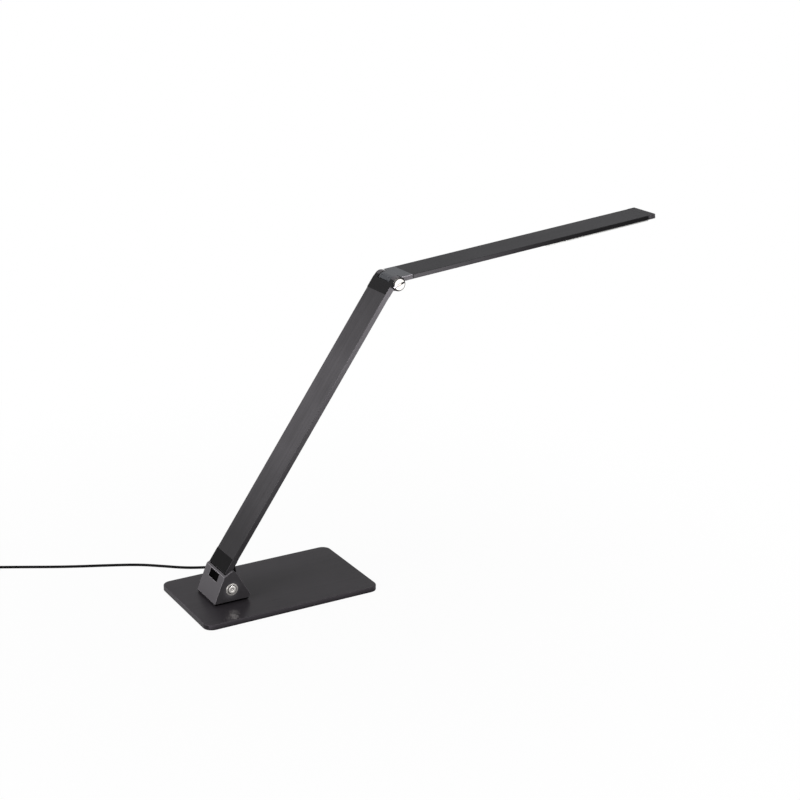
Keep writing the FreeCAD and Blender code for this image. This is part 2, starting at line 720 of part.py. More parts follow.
def make_arm_fittings():
    screw = new_body("arm_screws")
    pad(circle(new_sketch(screw, "XY_Plane"), "0", "0", "small_screw_head"), "arm_wall")
    pad(circle(new_sketch(screw, "XY_Plane"), "0", "0", "small_screw_radius"),
        "arm_wall + fit_gap + small_screw_bite - slide_gap")
    low = size("arm_face_rise") - size("arm_thickness")
    first = size("tube_start") + size("plug_length") / 2
    last = size("tube_start") + size("tube_length") - size("plug_length") / 2
    side = size("arm_screw_side")
    spots = [Vector(along, across, low) for along in (first, last) for across in (-side, side)]
    copies("arm_screws", screw, [arm_frame.multiply(Placement(spot, Rotation())) for spot in spots])
    wire = keep("arm_wire", doc.addObject("Part::Cylinder", "arm_wire"))
    wire.setExpression("Radius", bound("wire_radius"))
    wire.setExpression("Height", bound("elbow_reach - tongue_pocket - slide_gap - knuckle_start"))
    start = Vector(size("knuckle_start"), 0, size("arm_face_rise") - size("arm_thickness") / 2)
    wire.Placement = arm_frame.multiply(Placement(start, Rotation(Y_AXIS, 90)))


def make_elbow_hardware():
    face = "arm_width / 2"
    bolt = new_body("elbow_bolt", elbow_frame)
    profile = outline(new_sketch(bolt, "XY_Plane"), [
        ("0", f"-{face} - elbow_head_height"),
        ("elbow_crown_radius", f"-{face} - elbow_head_height"),
        ("elbow_head_radius", f"-{face} - elbow_head_rim"),
        ("elbow_head_radius", f"-{face}"),
        ("hinge_bolt_radius", f"-{face}"),
        ("hinge_bolt_radius", f"{face} + elbow_tail"),
        ("0", f"{face} + elbow_tail"),
    ])
    revolve(profile)
    slot = new_sketch(bolt, "XZ_Plane", f"{face} + elbow_head_height")
    slot.AttachmentOffset = Placement(slot.AttachmentOffset.Base, Rotation(Z_AXIS, -size("coin_slot_turn")))
    rectangle(slot, "-elbow_head_radius", "-coin_slot_width / 2", "elbow_head_radius", "coin_slot_width / 2")
    pocket(slot, "coin_slot_depth")
    nut = new_body("elbow_nut", elbow_frame)
    profile = outline(new_sketch(nut, "XY_Plane"), [
        ("hinge_bolt_radius + run_gap", face),
        ("elbow_head_radius", face),
        ("elbow_head_radius", f"{face} + elbow_head_rim"),
        ("elbow_crown_radius", f"{face} + elbow_head_height"),
        ("hinge_bolt_radius + run_gap", f"{face} + elbow_head_height"),
    ])
    revolve(profile)
    washer = new_body("elbow_washers", elbow_frame)
    ring = circle(new_sketch(washer, "XZ_Plane", "tongue_half + slide_gap"), "0", "0", "elbow_washer_radius")
    pad(circle(ring, "0", "0", "hinge_bolt_radius + run_gap"), "elbow_washer_thickness")
    mirrored_pair("elbow_washers", washer)


head_low = "(head_face_rise - head_thickness)"
cover_top = "(head_face_rise - head_thickness + lip_height + cover_flange)"
channel_end = "(head_reach - end_cap_length)"
lip_half = "(head_width / 2 - lip_width - fit_gap)"
flange_half = "(head_width / 2 - head_wall - fit_gap)"


def tongue_groove(body, kind, length):
    """Groove across the tongue's round end, at a turn about the elbow axis."""
    groove = new_sketch(body, "XZ_Plane")
    groove.AttachmentOffset = Placement(Vector(), Rotation(Z_AXIS, size(f"{kind}_turn")))
    rectangle(groove, f"head_face_rise - {kind}_depth", f"-{kind}_width / 2",
              "head_face_rise + overrun", f"{kind}_width / 2")
    pocket(groove, length, symmetric=True)


def make_head_block():
    body = new_body("head_block", head_frame)
    block = new_sketch(body, "XZ_Plane")
    pad(rectangle(block, "0", head_low, "head_seam", "head_face_rise"), "head_width", symmetric=True)
    relief = circle(new_sketch(body, "XZ_Plane"), "0", "0", "ear_clearance")
    pocket(relief, "head_width", symmetric=True)
    web = outline(new_sketch(body, "XZ_Plane"), [
        ("0", "0"),
        ("head_face_rise * cos(45)", "-head_face_rise * sin(45)"),
        ("tongue_web", head_low),
        ("tongue_web", "head_face_rise"),
        ("0", "head_face_rise"),
    ])
    pad(web, "2 * tongue_half", symmetric=True)
    pad(circle(new_sketch(body, "XZ_Plane"), "0", "0", "head_face_rise"), "2 * tongue_half", symmetric=True)
    bore = circle(new_sketch(body, "XZ_Plane"), "0", "0", "hinge_bolt_radius + run_gap")
    pocket(bore, "2 * tongue_half", symmetric=True)
    tongue_groove(body, "grease_slit", "grease_slit_length")
    tongue_groove(body, "scribe", "2 * tongue_half")
    plug = new_sketch(body, "YZ_Plane", "head_seam")
    rectangle(plug, f"-{flange_half}", f"{cover_top} + slide_gap",
              flange_half, "head_face_rise - head_wall - fit_gap")
    pad(plug, "plug_length")
    taps = new_sketch(body, "XY_Plane", cover_top)
    for side in ("-", ""):
        circle(taps, "head_seam + plug_length / 2", f"{side}arm_screw_side", "small_screw_radius + run_gap")
    pocket(taps, "head_thickness", reverse=True)


def make_head_channel():
    body = new_body("head_channel", head_frame)
    section = new_sketch(body, "YZ_Plane", "head_seam")
    half = "head_width / 2"
    outline(section, [
        (f"-{half}", head_low),
        (f"lip_width - {half}", head_low),
        (f"lip_width - {half}", f"{head_low} + lip_height"),
        (f"head_wall - {half}", f"{head_low} + lip_height"),
        (f"head_wall - {half}", "head_face_rise - head_wall"),
        (f"{half} - head_wall", "head_face_rise - head_wall"),
        (f"{half} - head_wall", f"{head_low} + lip_height"),
        (f"{half} - lip_width", f"{head_low} + lip_height"),
        (f"{half} - lip_width", head_low),
        (half, head_low),
        (half, "head_face_rise"),
        (f"-{half}", "head_face_rise"),
    ])
    pad(section, f"{channel_end} - head_seam")
    ridge = size("head_face_rise") - size("run_gap")
    fillet(body, lambda edge: runs_along(edge, X_AXIS) and edge.BoundBox.ZMin > ridge, "head_edge")


def lipped_strip(label, start, length, low, low_half, rib_top):
    """Strip that fills the channel's mouth and stands on its lips, from a T-shaped section."""
    body = new_body(label, head_frame)
    section = new_sketch(body, "YZ_Plane", start)
    outline(section, [
        (f"-{low_half}", low),
        (low_half, low),
        (low_half, head_low),
        (lip_half, head_low),
        (lip_half, rib_top),
        (f"-{lip_half}", rib_top),
        (f"-{lip_half}", head_low),
        (f"-{low_half}", head_low),
    ])
    pad(section, length)
    return body


def make_head_underside():
    cover = new_body("underside_cover", head_frame)
    section = new_sketch(cover, "YZ_Plane", "head_seam")
    outline(section, [
        (f"-{lip_half}", head_low),
        (lip_half, head_low),
        (lip_half, f"{head_low} + lip_height"),
        (flange_half, f"{head_low} + lip_height"),
        (flange_half, cover_top),
        (f"-{flange_half}", cover_top),
        (f"-{flange_half}", f"{head_low} + lip_height"),
        (f"-{lip_half}", f"{head_low} + lip_height"),
    ])
    pad(section, "light_start - head_seam - fit_gap")
    shanks = new_sketch(cover, "XY_Plane", head_low)
    heads = new_sketch(cover, "XY_Plane", head_low)
    for side in ("-", ""):
        circle(shanks, "head_seam + plug_length / 2", f"{side}arm_screw_side", "small_screw_radius + run_gap")
        circle(heads, "head_seam + plug_length / 2", f"{side}arm_screw_side", "small_screw_head + run_gap")
    pocket(shanks, "lip_height + cover_flange", reverse=True)
    pocket(heads, "cover_screw_head_height", reverse=True)
    lens_half = "(head_width / 2 - diffuser_inset)"
    lipped_strip("diffuser", "light_start", f"{channel_end} - light_start - fit_gap",
                 f"{head_low} - diffuser_drop", lens_half, f"{head_low} + lip_height + diffuser_rib")
    screw = new_body("cover_screws")
    pad(circle(new_sketch(screw, "XY_Plane"), "0", "0", "small_screw_head"), "cover_screw_head_height")
    pad(circle(new_sketch(screw, "XY_Plane"), "0", "0", "small_screw_radius"), "cover_screw_length")
    low = size("head_face_rise") - size("head_thickness")
    along = size("head_seam") + size("plug_length") / 2
    spots = [Vector(along, side, low) for side in (-size("arm_screw_side"), size("arm_screw_side"))]
    copies("cover_screws", screw, [head_frame.multiply(Placement(spot, Rotation())) for spot in spots])


def make_end_cap():
    body = new_body("head_end_cap", head_frame)
    plan = new_sketch(body, "XY_Plane", head_low)
    rectangle(plan, channel_end, "-head_width / 2", "head_reach", "head_width / 2")
    pad(plan, "head_thickness")
    tip = size("head_reach") - size("run_gap")
    fillet(body, lambda edge: runs_along(edge, Z_AXIS) and edge.BoundBox.XMin > tip, "end_cap_corner")
    plug = new_sketch(body, "YZ_Plane", channel_end)
    rectangle(plug, f"-{flange_half}", f"{cover_top} + slide_gap",
              flange_half, "head_face_rise - head_wall - fit_gap")
    pad(plug, "end_plug_length", reverse=True)


def make_light():
    board_start = "(light_start + board_margin)"
    board_length = f"({channel_end} - end_plug_length - board_margin - {board_start})"
    board = new_body("led_board", head_frame)
    plan = new_sketch(board, "XY_Plane", "head_face_rise - head_wall")
    rectangle(plan, board_start, "-board_width / 2", f"{board_start} + {board_length}", "board_width / 2")
    pad(plan, "board_thickness", reverse=True)
    chip = new_body("led_chips")
    foot = new_sketch(chip, "XY_Plane")
    rectangle(foot, "-chip_length / 2", "-chip_width / 2", "chip_length / 2", "chip_width / 2")
    pad(foot, "chip_height", reverse=True)
    start = size("light_start") + size("board_margin")
    end = size("head_reach") - size("end_cap_length") - size("end_plug_length") - size("board_margin")
    under = size("head_face_rise") - size("head_wall") - size("board_thickness")
    count = 16
    step = (end - start) / count
    side = size("chip_row_gap") / 2
    alongs = [start + step * (i + 0.5) for i in range(count)]
    spots = [Vector(along, across, under) for along in alongs for across in (-side, side)]
    copies("led_chips", chip, [head_frame.multiply(Placement(spot, Rotation())) for spot in spots])
    wire = keep("head_wire", doc.addObject("Part::Cylinder", "head_wire"))
    wire.setExpression("Radius", bound("wire_radius"))
    wire.setExpression("Height", bound(f"{board_start} - head_seam - plug_length"))
    level = size("head_face_rise") - size("head_wall") - size("wire_radius") - size("slide_gap")
    first = Vector(size("head_seam") + size("plug_length"), 0, level)
    wire.Placement = head_frame.multiply(Placement(first, Rotation(Y_AXIS, 90)))


def disc_at(centre, direction, radius):
    return Part.Wire(Part.Circle(centre, direction, radius).toShape())


def sweep(edges, start, direction, radius):
    """Round tube along a wire of straight and round edges, with its volume checked."""
    path = Part.Wire(edges)
    tube = path.makePipeShell([disc_at(start, direction, radius)], True, False)
    expected = math.pi * radius**2 * path.Length
    if abs(tube.Volume - expected) > 0.01 * expected:
        raise RuntimeError(f"tube volume {tube.Volume:.1f} is not section times length {expected:.1f}")
    return tube


def rounded_route(points, label):
    """Straight runs joined by tangent arcs, each as large as its two runs allow."""
    runs = [after - before for before, after in zip(points, points[1:])]
    edges = []
    at = points[0]
    radii = []
    for before, corner, after in zip(runs, points[1:], runs[1:]):
        turn = before.getAngle(after)
        trim = 0.45 * min(before.Length, after.Length)
        radius = trim / math.tan(turn / 2)
        radii.append(radius)
        incoming = Vector(before).normalize()
        outgoing = Vector(after).normalize()
        first = corner - incoming * trim
        last = corner + outgoing * trim
        inward = (outgoing - incoming).normalize()
        middle = corner + inward * (radius / math.cos(turn / 2) - radius)
        edges.append(Part.LineSegment(at, first).toShape())
        edges.append(Part.Arc(first, middle, last).toShape())
        at = last
    edges.append(Part.LineSegment(at, points[-1]).toShape())
    print(label, "bend radii", [round(radius, 1) for radius in radii])
    return edges


def make_base_wire():
    level = size("cord_level")
    back = size("base_width") / 2 - size("base_wall") - size("grommet_flange_thickness")
    corner = size("wire_bend")
    points = [
        Vector(size("cord_exit"), back, level),
        Vector(size("cord_exit"), corner, level),
        Vector(size("cord_exit") - corner, 0, level),
        Vector(size("well_gap") + size("swivel_nut_radius") - size("swivel_back"), 0, level),
    ]
    made = keep("base_wire", doc.addObject("Part::Feature", "base_wire"))
    made.Shape = sweep(rounded_route(points, "base wire"), points[0], -Y_AXIS, size("wire_radius"))


def make_grommet():
    back_edge = Vector(size("cord_exit"), size("base_width") / 2, size("cord_level"))
    body = new_body("cord_grommet", Placement(back_edge, Rotation()))
    profile = outline(new_sketch(body, "XY_Plane"), [
        ("0", "-base_wall - grommet_flange_thickness"),
        ("wire_radius + grommet_flange_thickness / 2", "-base_wall - grommet_flange_thickness"),
        ("wire_radius + grommet_flange_thickness / 2", "-base_wall"),
        ("grommet_radius", "-base_wall"),
        ("grommet_radius", "0"),
        ("grommet_flange", "0"),
        ("grommet_flange", "grommet_flange_thickness"),
        ("grommet_tip", "grommet_reach"),
        ("0", "grommet_reach"),
    ])
    revolve(profile)


def cord_start():
    back = size("base_width") / 2 + size("grommet_reach")
    return Vector(size("cord_exit"), back, size("cord_level"))


# Places that the free cord passes on the table, counted from the grommet's tip.
CORD_ROUTE = [
    (0.0, 6.4),
    (-3.5, 11.6),
    (-9.6, 14.6),
    (-17.0, 16.4),
    (-25.2, 19.6),
    (-42.5, 28.7),
    (-64.0, 46.8),
    (-83.0, 61.7),
    (-111.4, 76.0),
    (-155.0, 96.1),
    (-198.5, 118.9),
    (-241.5, 142.4),
]
COIL_TURNS_PER_LAYER = 3
COIL_LAYERS = 4


def cord_points():
    """Route of the free cord, which sinks from the grommet to the table and lies on it."""
    first = cord_start()
    lying = size("cord_diameter") / 2 + size("floor_gap")
    on_tie = lying + size("tie_thickness") + size("fit_gap")
    sink = [first.z, first.z * 0.7 + lying * 0.3, first.z * 0.3 + lying * 0.7]
    heights = sink + [lying] * (len(CORD_ROUTE) - len(sink) - 2) + [on_tie, on_tie]
    return [first] + [Vector(first.x + x, first.y + y, z) for (x, y), z in zip(CORD_ROUTE, heights)]


def coil_frame():
    """Centre of the coil and the angle at which the cord joins its outermost turn."""
    points = cord_points()
    last = points[-1]
    heading = Vector(last.x - points[-2].x, last.y - points[-2].y, 0).normalize()
    side = Vector(-heading.y, heading.x, 0)
    outer = size("coil_radius") + size("coil_pitch") * COIL_TURNS_PER_LAYER / 2
    start = last + heading * size("cord_diameter")
    return start + side * outer, math.atan2(-side.y, -side.x), start, heading


def coil_point(turn):
    """Centreline place after so many turns: layers spiral in and out, and climb as they reverse."""
    centre, first_angle, start, heading = coil_frame()
    layer = min(int(turn / COIL_TURNS_PER_LAYER), COIL_LAYERS - 1)
    within = turn - layer * COIL_TURNS_PER_LAYER
    inward = within if layer % 2 == 0 else COIL_TURNS_PER_LAYER - within
    radius = size("coil_radius") + size("coil_pitch") * (COIL_TURNS_PER_LAYER / 2 - inward)
    left = COIL_TURNS_PER_LAYER - within
    climb = 0.0
    if layer < COIL_LAYERS - 1 and left < 0.25:
        climb = 0.5 * (1 - left / 0.25) ** 2
    if layer > 0 and within < 0.25:
        climb = -0.5 * (1 - within / 0.25) ** 2
    angle = first_angle + math.tau * turn
    level = start.z + size("coil_layer") * (layer + climb)
    return Vector(centre.x + radius * math.cos(angle), centre.y + radius * math.sin(angle), level)


def coil_heading(turn):
    step = 0.002
    total = COIL_TURNS_PER_LAYER * COIL_LAYERS
    return (coil_point(min(turn + step, total)) - coil_point(max(turn - step, 0))).normalize()


def biarc(start, leaving, end, arriving):
    """Two tangent arcs from one place and heading to another."""
    chord = end - start
    both = leaving + arriving
    spread = 2 * (1 - leaving.dot(arriving))
    reach = (math.sqrt(chord.dot(both) ** 2 + spread * chord.dot(chord)) - chord.dot(both)) / spread
    joint = (start + end + (leaving - arriving) * reach) * 0.5
    pieces = []
    for here, heading, there in ((start, leaving, joint), (end, arriving * -1, joint)):
        span = there - here
        bend = heading.getAngle(span)
        sideways = (span - heading * span.dot(heading)).normalize()
        half = span.Length / 2 / math.cos(bend / 2)
        middle = here + (heading * math.cos(bend / 2) + sideways * math.sin(bend / 2)) * half
        pieces.append((here, middle, there))
    (a, b, c), (e, f, g) = pieces
    return [Part.Arc(a, b, c).toShape(), Part.Arc(g, f, e).toShape()]


def make_cord():
    points = cord_points()
    radius = size("cord_diameter") / 2
    cord = keep("cord", doc.addObject("Part::Feature", "cord"))
    runs = rounded_route(points, "cord")
    cord.Shape = sweep(runs, points[0], points[1] - points[0], radius)
    centre, first_angle, start, heading = coil_frame()
    stops = [i / 2 for i in range(2 * COIL_TURNS_PER_LAYER * COIL_LAYERS + 1)]
    for layer in range(1, COIL_LAYERS):
        reversal = layer * COIL_TURNS_PER_LAYER
        stops.extend((reversal - 0.25, reversal + 0.25))
    stops.sort()
    edges = [Part.LineSegment(points[-1], start).toShape()]
    for before, after in zip(stops, stops[1:]):
        leaving = heading if before == 0 else coil_heading(before)
        edges.extend(biarc(coil_point(before), leaving, coil_point(after), coil_heading(after)))
    leaving = coil_heading(stops[-1])
    end = coil_point(stops[-1])
    tail = end + leaving * size("tail_length")
    edges.append(Part.LineSegment(end, tail).toShape())
    coil = keep("cord_coil", doc.addObject("Part::Feature", "cord_coil"))
    coil.Shape = sweep(edges, points[-1], heading, radius)
    print("coil least gap to itself", round(coil_gap(edges, radius), 2))
    print("cord length in all", round(Part.Wire(runs).Length + Part.Wire(edges).Length))
    return tail, leaving


def coil_gap(edges, radius):
    """Least clear gap between turns, measured on points along the centreline."""
    spots = []
    for edge in edges:
        spots.extend(edge.discretize(8)[:-1])
    along = [0.0]
    for before, after in zip(spots, spots[1:]):
        along.append(along[-1] + (after - before).Length)
    apart = 8 * radius
    pairs = ((i, j) for i in range(len(spots)) for j in range(i) if along[i] - along[j] > apart)
    return min((spots[i] - spots[j]).Length for i, j in pairs) - 2 * radius


def make_supply(tail, heading):
    """Plug-in supply that stands on the table at the cord's far end."""
    flat = Vector(heading.x, heading.y, 0).normalize()
    turn = Rotation(X_AXIS, flat)
    boot = new_body("supply_boot", Placement(tail, turn))
    ring = circle(new_sketch(boot, "YZ_Plane"), "0", "0", "boot_radius")
    pad(ring, "boot_length")
    floor = Vector(tail.x, tail.y, 0) + flat * size("boot_length")
    supply = new_body("power_supply", Placement(floor, turn))
    plan = new_sketch(supply, "XY_Plane", "floor_gap")
    rectangle(plan, "0", "-supply_width / 2", "supply_length", "supply_width / 2")
    pad(plan, "supply_height")
    fillet(supply, lambda edge: runs_along(edge, Z_AXIS), "supply_round")
    blade = new_body("plug_blades", Placement(floor, turn))
    near = new_sketch(blade, "YZ_Plane", "supply_length")
    rectangle(near, "-blade_spacing / 2 - blade_thickness / 2", "supply_height / 2 - blade_width / 2",
              "blade_thickness / 2 - blade_spacing / 2", "supply_height / 2 + blade_width / 2")
    rectangle(near, "blade_spacing / 2 - blade_thickness / 2", "supply_height / 2 - blade_width / 2",
              "blade_spacing / 2 + blade_thickness / 2", "supply_height / 2 + blade_width / 2")
    pad(near, "blade_length")


def make_tie():
    """Band round the bundle, where the turns of all layers lie straight above each other."""
    centre, first_angle, start, heading = coil_frame()
    opposite = Rotation(Z_AXIS, math.degrees(first_angle) + 180)
    body = new_body("cord_tie", Placement(Vector(centre.x, centre.y, 0), opposite))
    reach = "(coil_pitch + cord_diameter / 2 + tie_gap)"
    height = f"(cord_diameter + {COIL_LAYERS - 1} * coil_layer + 2 * fit_gap)"
    band = new_sketch(body, "XZ_Plane")
    rectangle(band, f"coil_radius - {reach} - tie_thickness", "floor_gap",
              f"coil_radius + {reach} + tie_thickness", f"floor_gap + {height} + 2 * tie_thickness")
    rectangle(band, f"coil_radius - {reach}", "floor_gap + tie_thickness",
              f"coil_radius + {reach}", f"floor_gap + {height} + tie_thickness")
    pad(band, "tie_width", symmetric=True)


def main():
    make_base_shell()
    make_base_weight()
    make_base_mat()
    make_base_screws()
    make_swivel()
    make_pedestal()
    make_switch()
    make_lower_hinge()
    make_lower_knuckle()
    make_arm_tube()
    make_upper_fork()
    make_arm_fittings()
    make_elbow_hardware()
    make_head_block()
    make_head_channel()
    make_head_underside()
    make_end_cap()
    make_light()
    make_base_wire()
    make_grommet()
    tail, heading = make_cord()
    make_supply(tail, heading)
    make_tie()


main()
doc.recompute()
for made in doc.Objects:
    if "Invalid" in made.State or "Error" in made.State:
        raise RuntimeError(f"{made.Label} failed: {made.State}")
for label, made in nodes.items():
    if made.Shape.isNull() or not made.Shape.isValid():
        raise RuntimeError(f"{label} has no valid shape")
os.makedirs("parts", exist_ok=True)
for label, made in nodes.items():
    made.Shape.exportStep(f"parts/{label}.step")
    print(label, len(made.Shape.Solids), "solid,", round(made.Shape.Volume), "mm3")
print("lower pivot", pivot, "elbow", elbow, "switch", switch_place().Base)
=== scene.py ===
# %% [markdown]
# # An LED task lamp, dressed in Blender
#
# The lamp was built first as solids: a flat weighted base, a small hinge pedestal, a flat arm and
# a slim light head. This lesson gives those solids their finish. It starts by loading them as a
# fixed frame, so that every new piece can be put where its solid already stands. One Blender unit
# is one metre, and the lamp's sizes are written in millimetres times MM.

# %% Load the solids
import math

import bmesh
import bpy
from mathutils import Matrix, Vector


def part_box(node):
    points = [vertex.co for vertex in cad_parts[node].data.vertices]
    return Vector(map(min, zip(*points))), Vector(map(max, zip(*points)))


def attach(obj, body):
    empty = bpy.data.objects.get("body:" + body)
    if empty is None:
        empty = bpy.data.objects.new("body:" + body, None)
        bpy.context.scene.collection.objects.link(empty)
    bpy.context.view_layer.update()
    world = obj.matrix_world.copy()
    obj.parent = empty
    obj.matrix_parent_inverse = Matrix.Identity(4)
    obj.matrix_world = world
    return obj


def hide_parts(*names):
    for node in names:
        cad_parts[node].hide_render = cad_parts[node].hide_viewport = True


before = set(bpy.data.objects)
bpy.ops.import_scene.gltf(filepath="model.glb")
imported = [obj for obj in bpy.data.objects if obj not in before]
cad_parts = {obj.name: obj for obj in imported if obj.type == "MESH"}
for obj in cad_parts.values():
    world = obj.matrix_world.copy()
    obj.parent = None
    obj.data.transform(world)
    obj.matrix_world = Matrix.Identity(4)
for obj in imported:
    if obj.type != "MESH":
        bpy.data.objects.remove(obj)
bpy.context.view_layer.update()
MM = 0.001

# %% [markdown]
# ## The places that the pieces share
#
# The arm leans back at 54.95 degrees and the head rises by 5.31 degrees. A piece of the arm is
# easiest to think about lying flat, with the lower hinge at its origin, so each of these two frames
# is kept as one matrix that lifts a flat piece to where it belongs. The directions along the arm and
# the head come from the same matrices.

# %% Frames of the arm and the head
ARM_ANGLE = math.radians(54.95)
HEAD_ANGLE = math.radians(5.31)
LOWER_PIVOT = Vector((-54.0, 0.0, 21.4)) * MM
ELBOW = Vector((148.2618, 0.0, 322.4352)) * MM
arm_frame = Matrix.Translation(LOWER_PIVOT) @ Matrix.Rotation(-ARM_ANGLE, 4, "Y")
head_frame = Matrix.Translation(ELBOW) @ Matrix.Rotation(-HEAD_ANGLE, 4, "Y")
to_arm = arm_frame.inverted()
X_AXIS = Vector((1.0, 0.0, 0.0))
Y_AXIS = Vector((0.0, 1.0, 0.0))
Z_AXIS = Vector((0.0, 0.0, 1.0))
arm_along = arm_frame.to_3x3() @ X_AXIS
head_along = head_frame.to_3x3() @ X_AXIS
print("elbow seen from the lower pivot:", [round(v / MM, 1) for v in to_arm @ ELBOW])

# %% [markdown]
# ## The camera
#
# The photograph was taken a little above the lamp and to the left of its long side. Its straight
# edges were enough to work out where the camera stood, so the render can use the same place and
# the same lens, and each edge then falls where it does in the photograph.

# %% Camera at the photograph's place
LENS = 77.03
SENSOR = 36.0
CAMERA_PLACE = (-0.71203, -1.52036, 0.78059)
CAMERA_TURN = (math.radians(71.30), 0.0, math.radians(-29.861))
camera_data = bpy.data.cameras.new("photo_camera")
camera_data.lens = LENS
camera_data.sensor_width = SENSOR
camera = bpy.data.objects.new("photo_camera", camera_data)
camera.location = CAMERA_PLACE
camera.rotation_euler = CAMERA_TURN
bpy.context.scene.collection.objects.link(camera)
bpy.context.scene.camera = camera
print("lens:", camera_data.lens)

# %% [markdown]
# ## The studio
#
# A dark lamp on white is mostly seen by what it reflects. The world is therefore a white room that
# the camera and all reflections see at full strength, and a weaker one that lights the surfaces,
# so that broad soft lamps can model the shape. Light Path tells the two apart.

# %% White room
scene = bpy.context.scene
scene.view_settings.view_transform = "Standard"
world = bpy.data.worlds.new("white_room")
scene.world = world
world.use_nodes = True
world.node_tree.nodes.clear()
ROOM_LIGHT = 0.34


def operate(tree, kind, operation):
    """New node of a kind that can do several sums, set to one of them."""
    made = tree.nodes.new(kind)
    made.operation = operation
    return made


def seen_directly(tree):
    """Socket that is 1 for camera, glossy and transmission rays."""
    path = tree.nodes.new("ShaderNodeLightPath")
    first = operate(tree, "ShaderNodeMath", "MAXIMUM")
    second = operate(tree, "ShaderNodeMath", "MAXIMUM")
    tree.links.new(path.outputs["Is Camera Ray"], first.inputs[0])
    tree.links.new(path.outputs["Is Glossy Ray"], first.inputs[1])
    tree.links.new(first.outputs[0], second.inputs[0])
    tree.links.new(path.outputs["Is Transmission Ray"], second.inputs[1])
    return second.outputs[0]


def light_room(tree):
    dim = tree.nodes.new("ShaderNodeBackground")
    dim.inputs["Strength"].default_value = ROOM_LIGHT
    white = tree.nodes.new("ShaderNodeBackground")
    white.inputs["Strength"].default_value = 1.0
    for shader in (dim, white):
        shader.inputs["Color"].default_value = (1.0, 1.0, 1.0, 1.0)
    mix = tree.nodes.new("ShaderNodeMixShader")
    out = tree.nodes.new("ShaderNodeOutputWorld")
    tree.links.new(seen_directly(tree), mix.inputs[0])
    tree.links.new(dim.outputs[0], mix.inputs[1])
    tree.links.new(white.outputs[0], mix.inputs[2])
    tree.links.new(mix.outputs[0], out.inputs[0])


light_room(world.node_tree)
print("room light:", ROOM_LIGHT)

# %% [markdown]
# ## Soft lamps
#
# The photograph shows the pedestal's sloping back and the arm's broad face lighter than the sides
# towards the camera, so the main soft box stands at the left. One above lights the base and the
# head, and a weak one in front keeps the near sides from going black.

# %% Soft boxes
def aimed(lamp, place, aim):
    lamp.location = place
    lamp.rotation_euler = (Vector(aim) - Vector(place)).to_track_quat("-Z", "Y").to_euler()
    scene.collection.objects.link(lamp)
    return lamp


def soft_box(name, place, aim, width, power):
    data = bpy.data.lights.new(name, "AREA")
    data.shape = "SQUARE"
    data.size = width
    data.energy = power
    return aimed(bpy.data.objects.new(name, data), place, aim)


soft_box("left_box", place=(-1.9, -0.2, 0.9), aim=(0.0, 0.0, 0.15), width=1.1, power=46.0)
soft_box("top_box", place=(0.9, 0.3, 2.0), aim=(0.1, 0.0, 0.0), width=1.2, power=33.0)
soft_box("front_box", place=(0.6, -2.2, 0.8), aim=(0.0, 0.0, 0.1), width=0.9, power=4.0)

# %% [markdown]
# Two lamps with a narrow soft cone make what is left. The sides of arm and head are lightest near
# the elbow and get darker away from it, so one points there. The other stands where the bright bolt
# of the pedestal throws its light down to the base, which mirrors it as a pale streak.

# %% Cone lamps
def cone_lamp(name, place, aim, width, power, size):
    data = bpy.data.lights.new(name, "SPOT")
    data.energy = power
    data.spot_size = math.radians(width)
    data.spot_blend = 1.0
    data.shadow_soft_size = size
    return aimed(bpy.data.objects.new(name, data), place, aim)


cone_lamp("elbow_lamp", place=(0.42, -1.3, 0.24), aim=(0.17, -0.02, 0.33),
          width=18.0, power=75.0, size=0.1)
cone_lamp("bolt_lamp", place=(0.308, -0.848, 0.457), aim=(-0.054, -0.023, 0.021),
          width=1.0, power=40.0, size=0.003)
print("cone lamps ready")

# %% [markdown]
# ## The floor
#
# Round the lamp a part of what the camera sees of the floor is ordinary shading, which keeps a soft
# shadow. Further out it turns to an even white, so that it joins the white room without a line. For
# the light that it throws back it is a grey sheet, because a white one would lift all dark sides.

# %% Floor
FLOOR_HALF = 6.0
SHEET_GREY = (0.4, 0.4, 0.4, 1.0)
SHEET_ROUGHNESS = 0.9
SHEET_GLOSS = 0.05
SHADOW_REACH = (0.1, 0.75)
WHITE_SHARE = (0.96, 1.0)


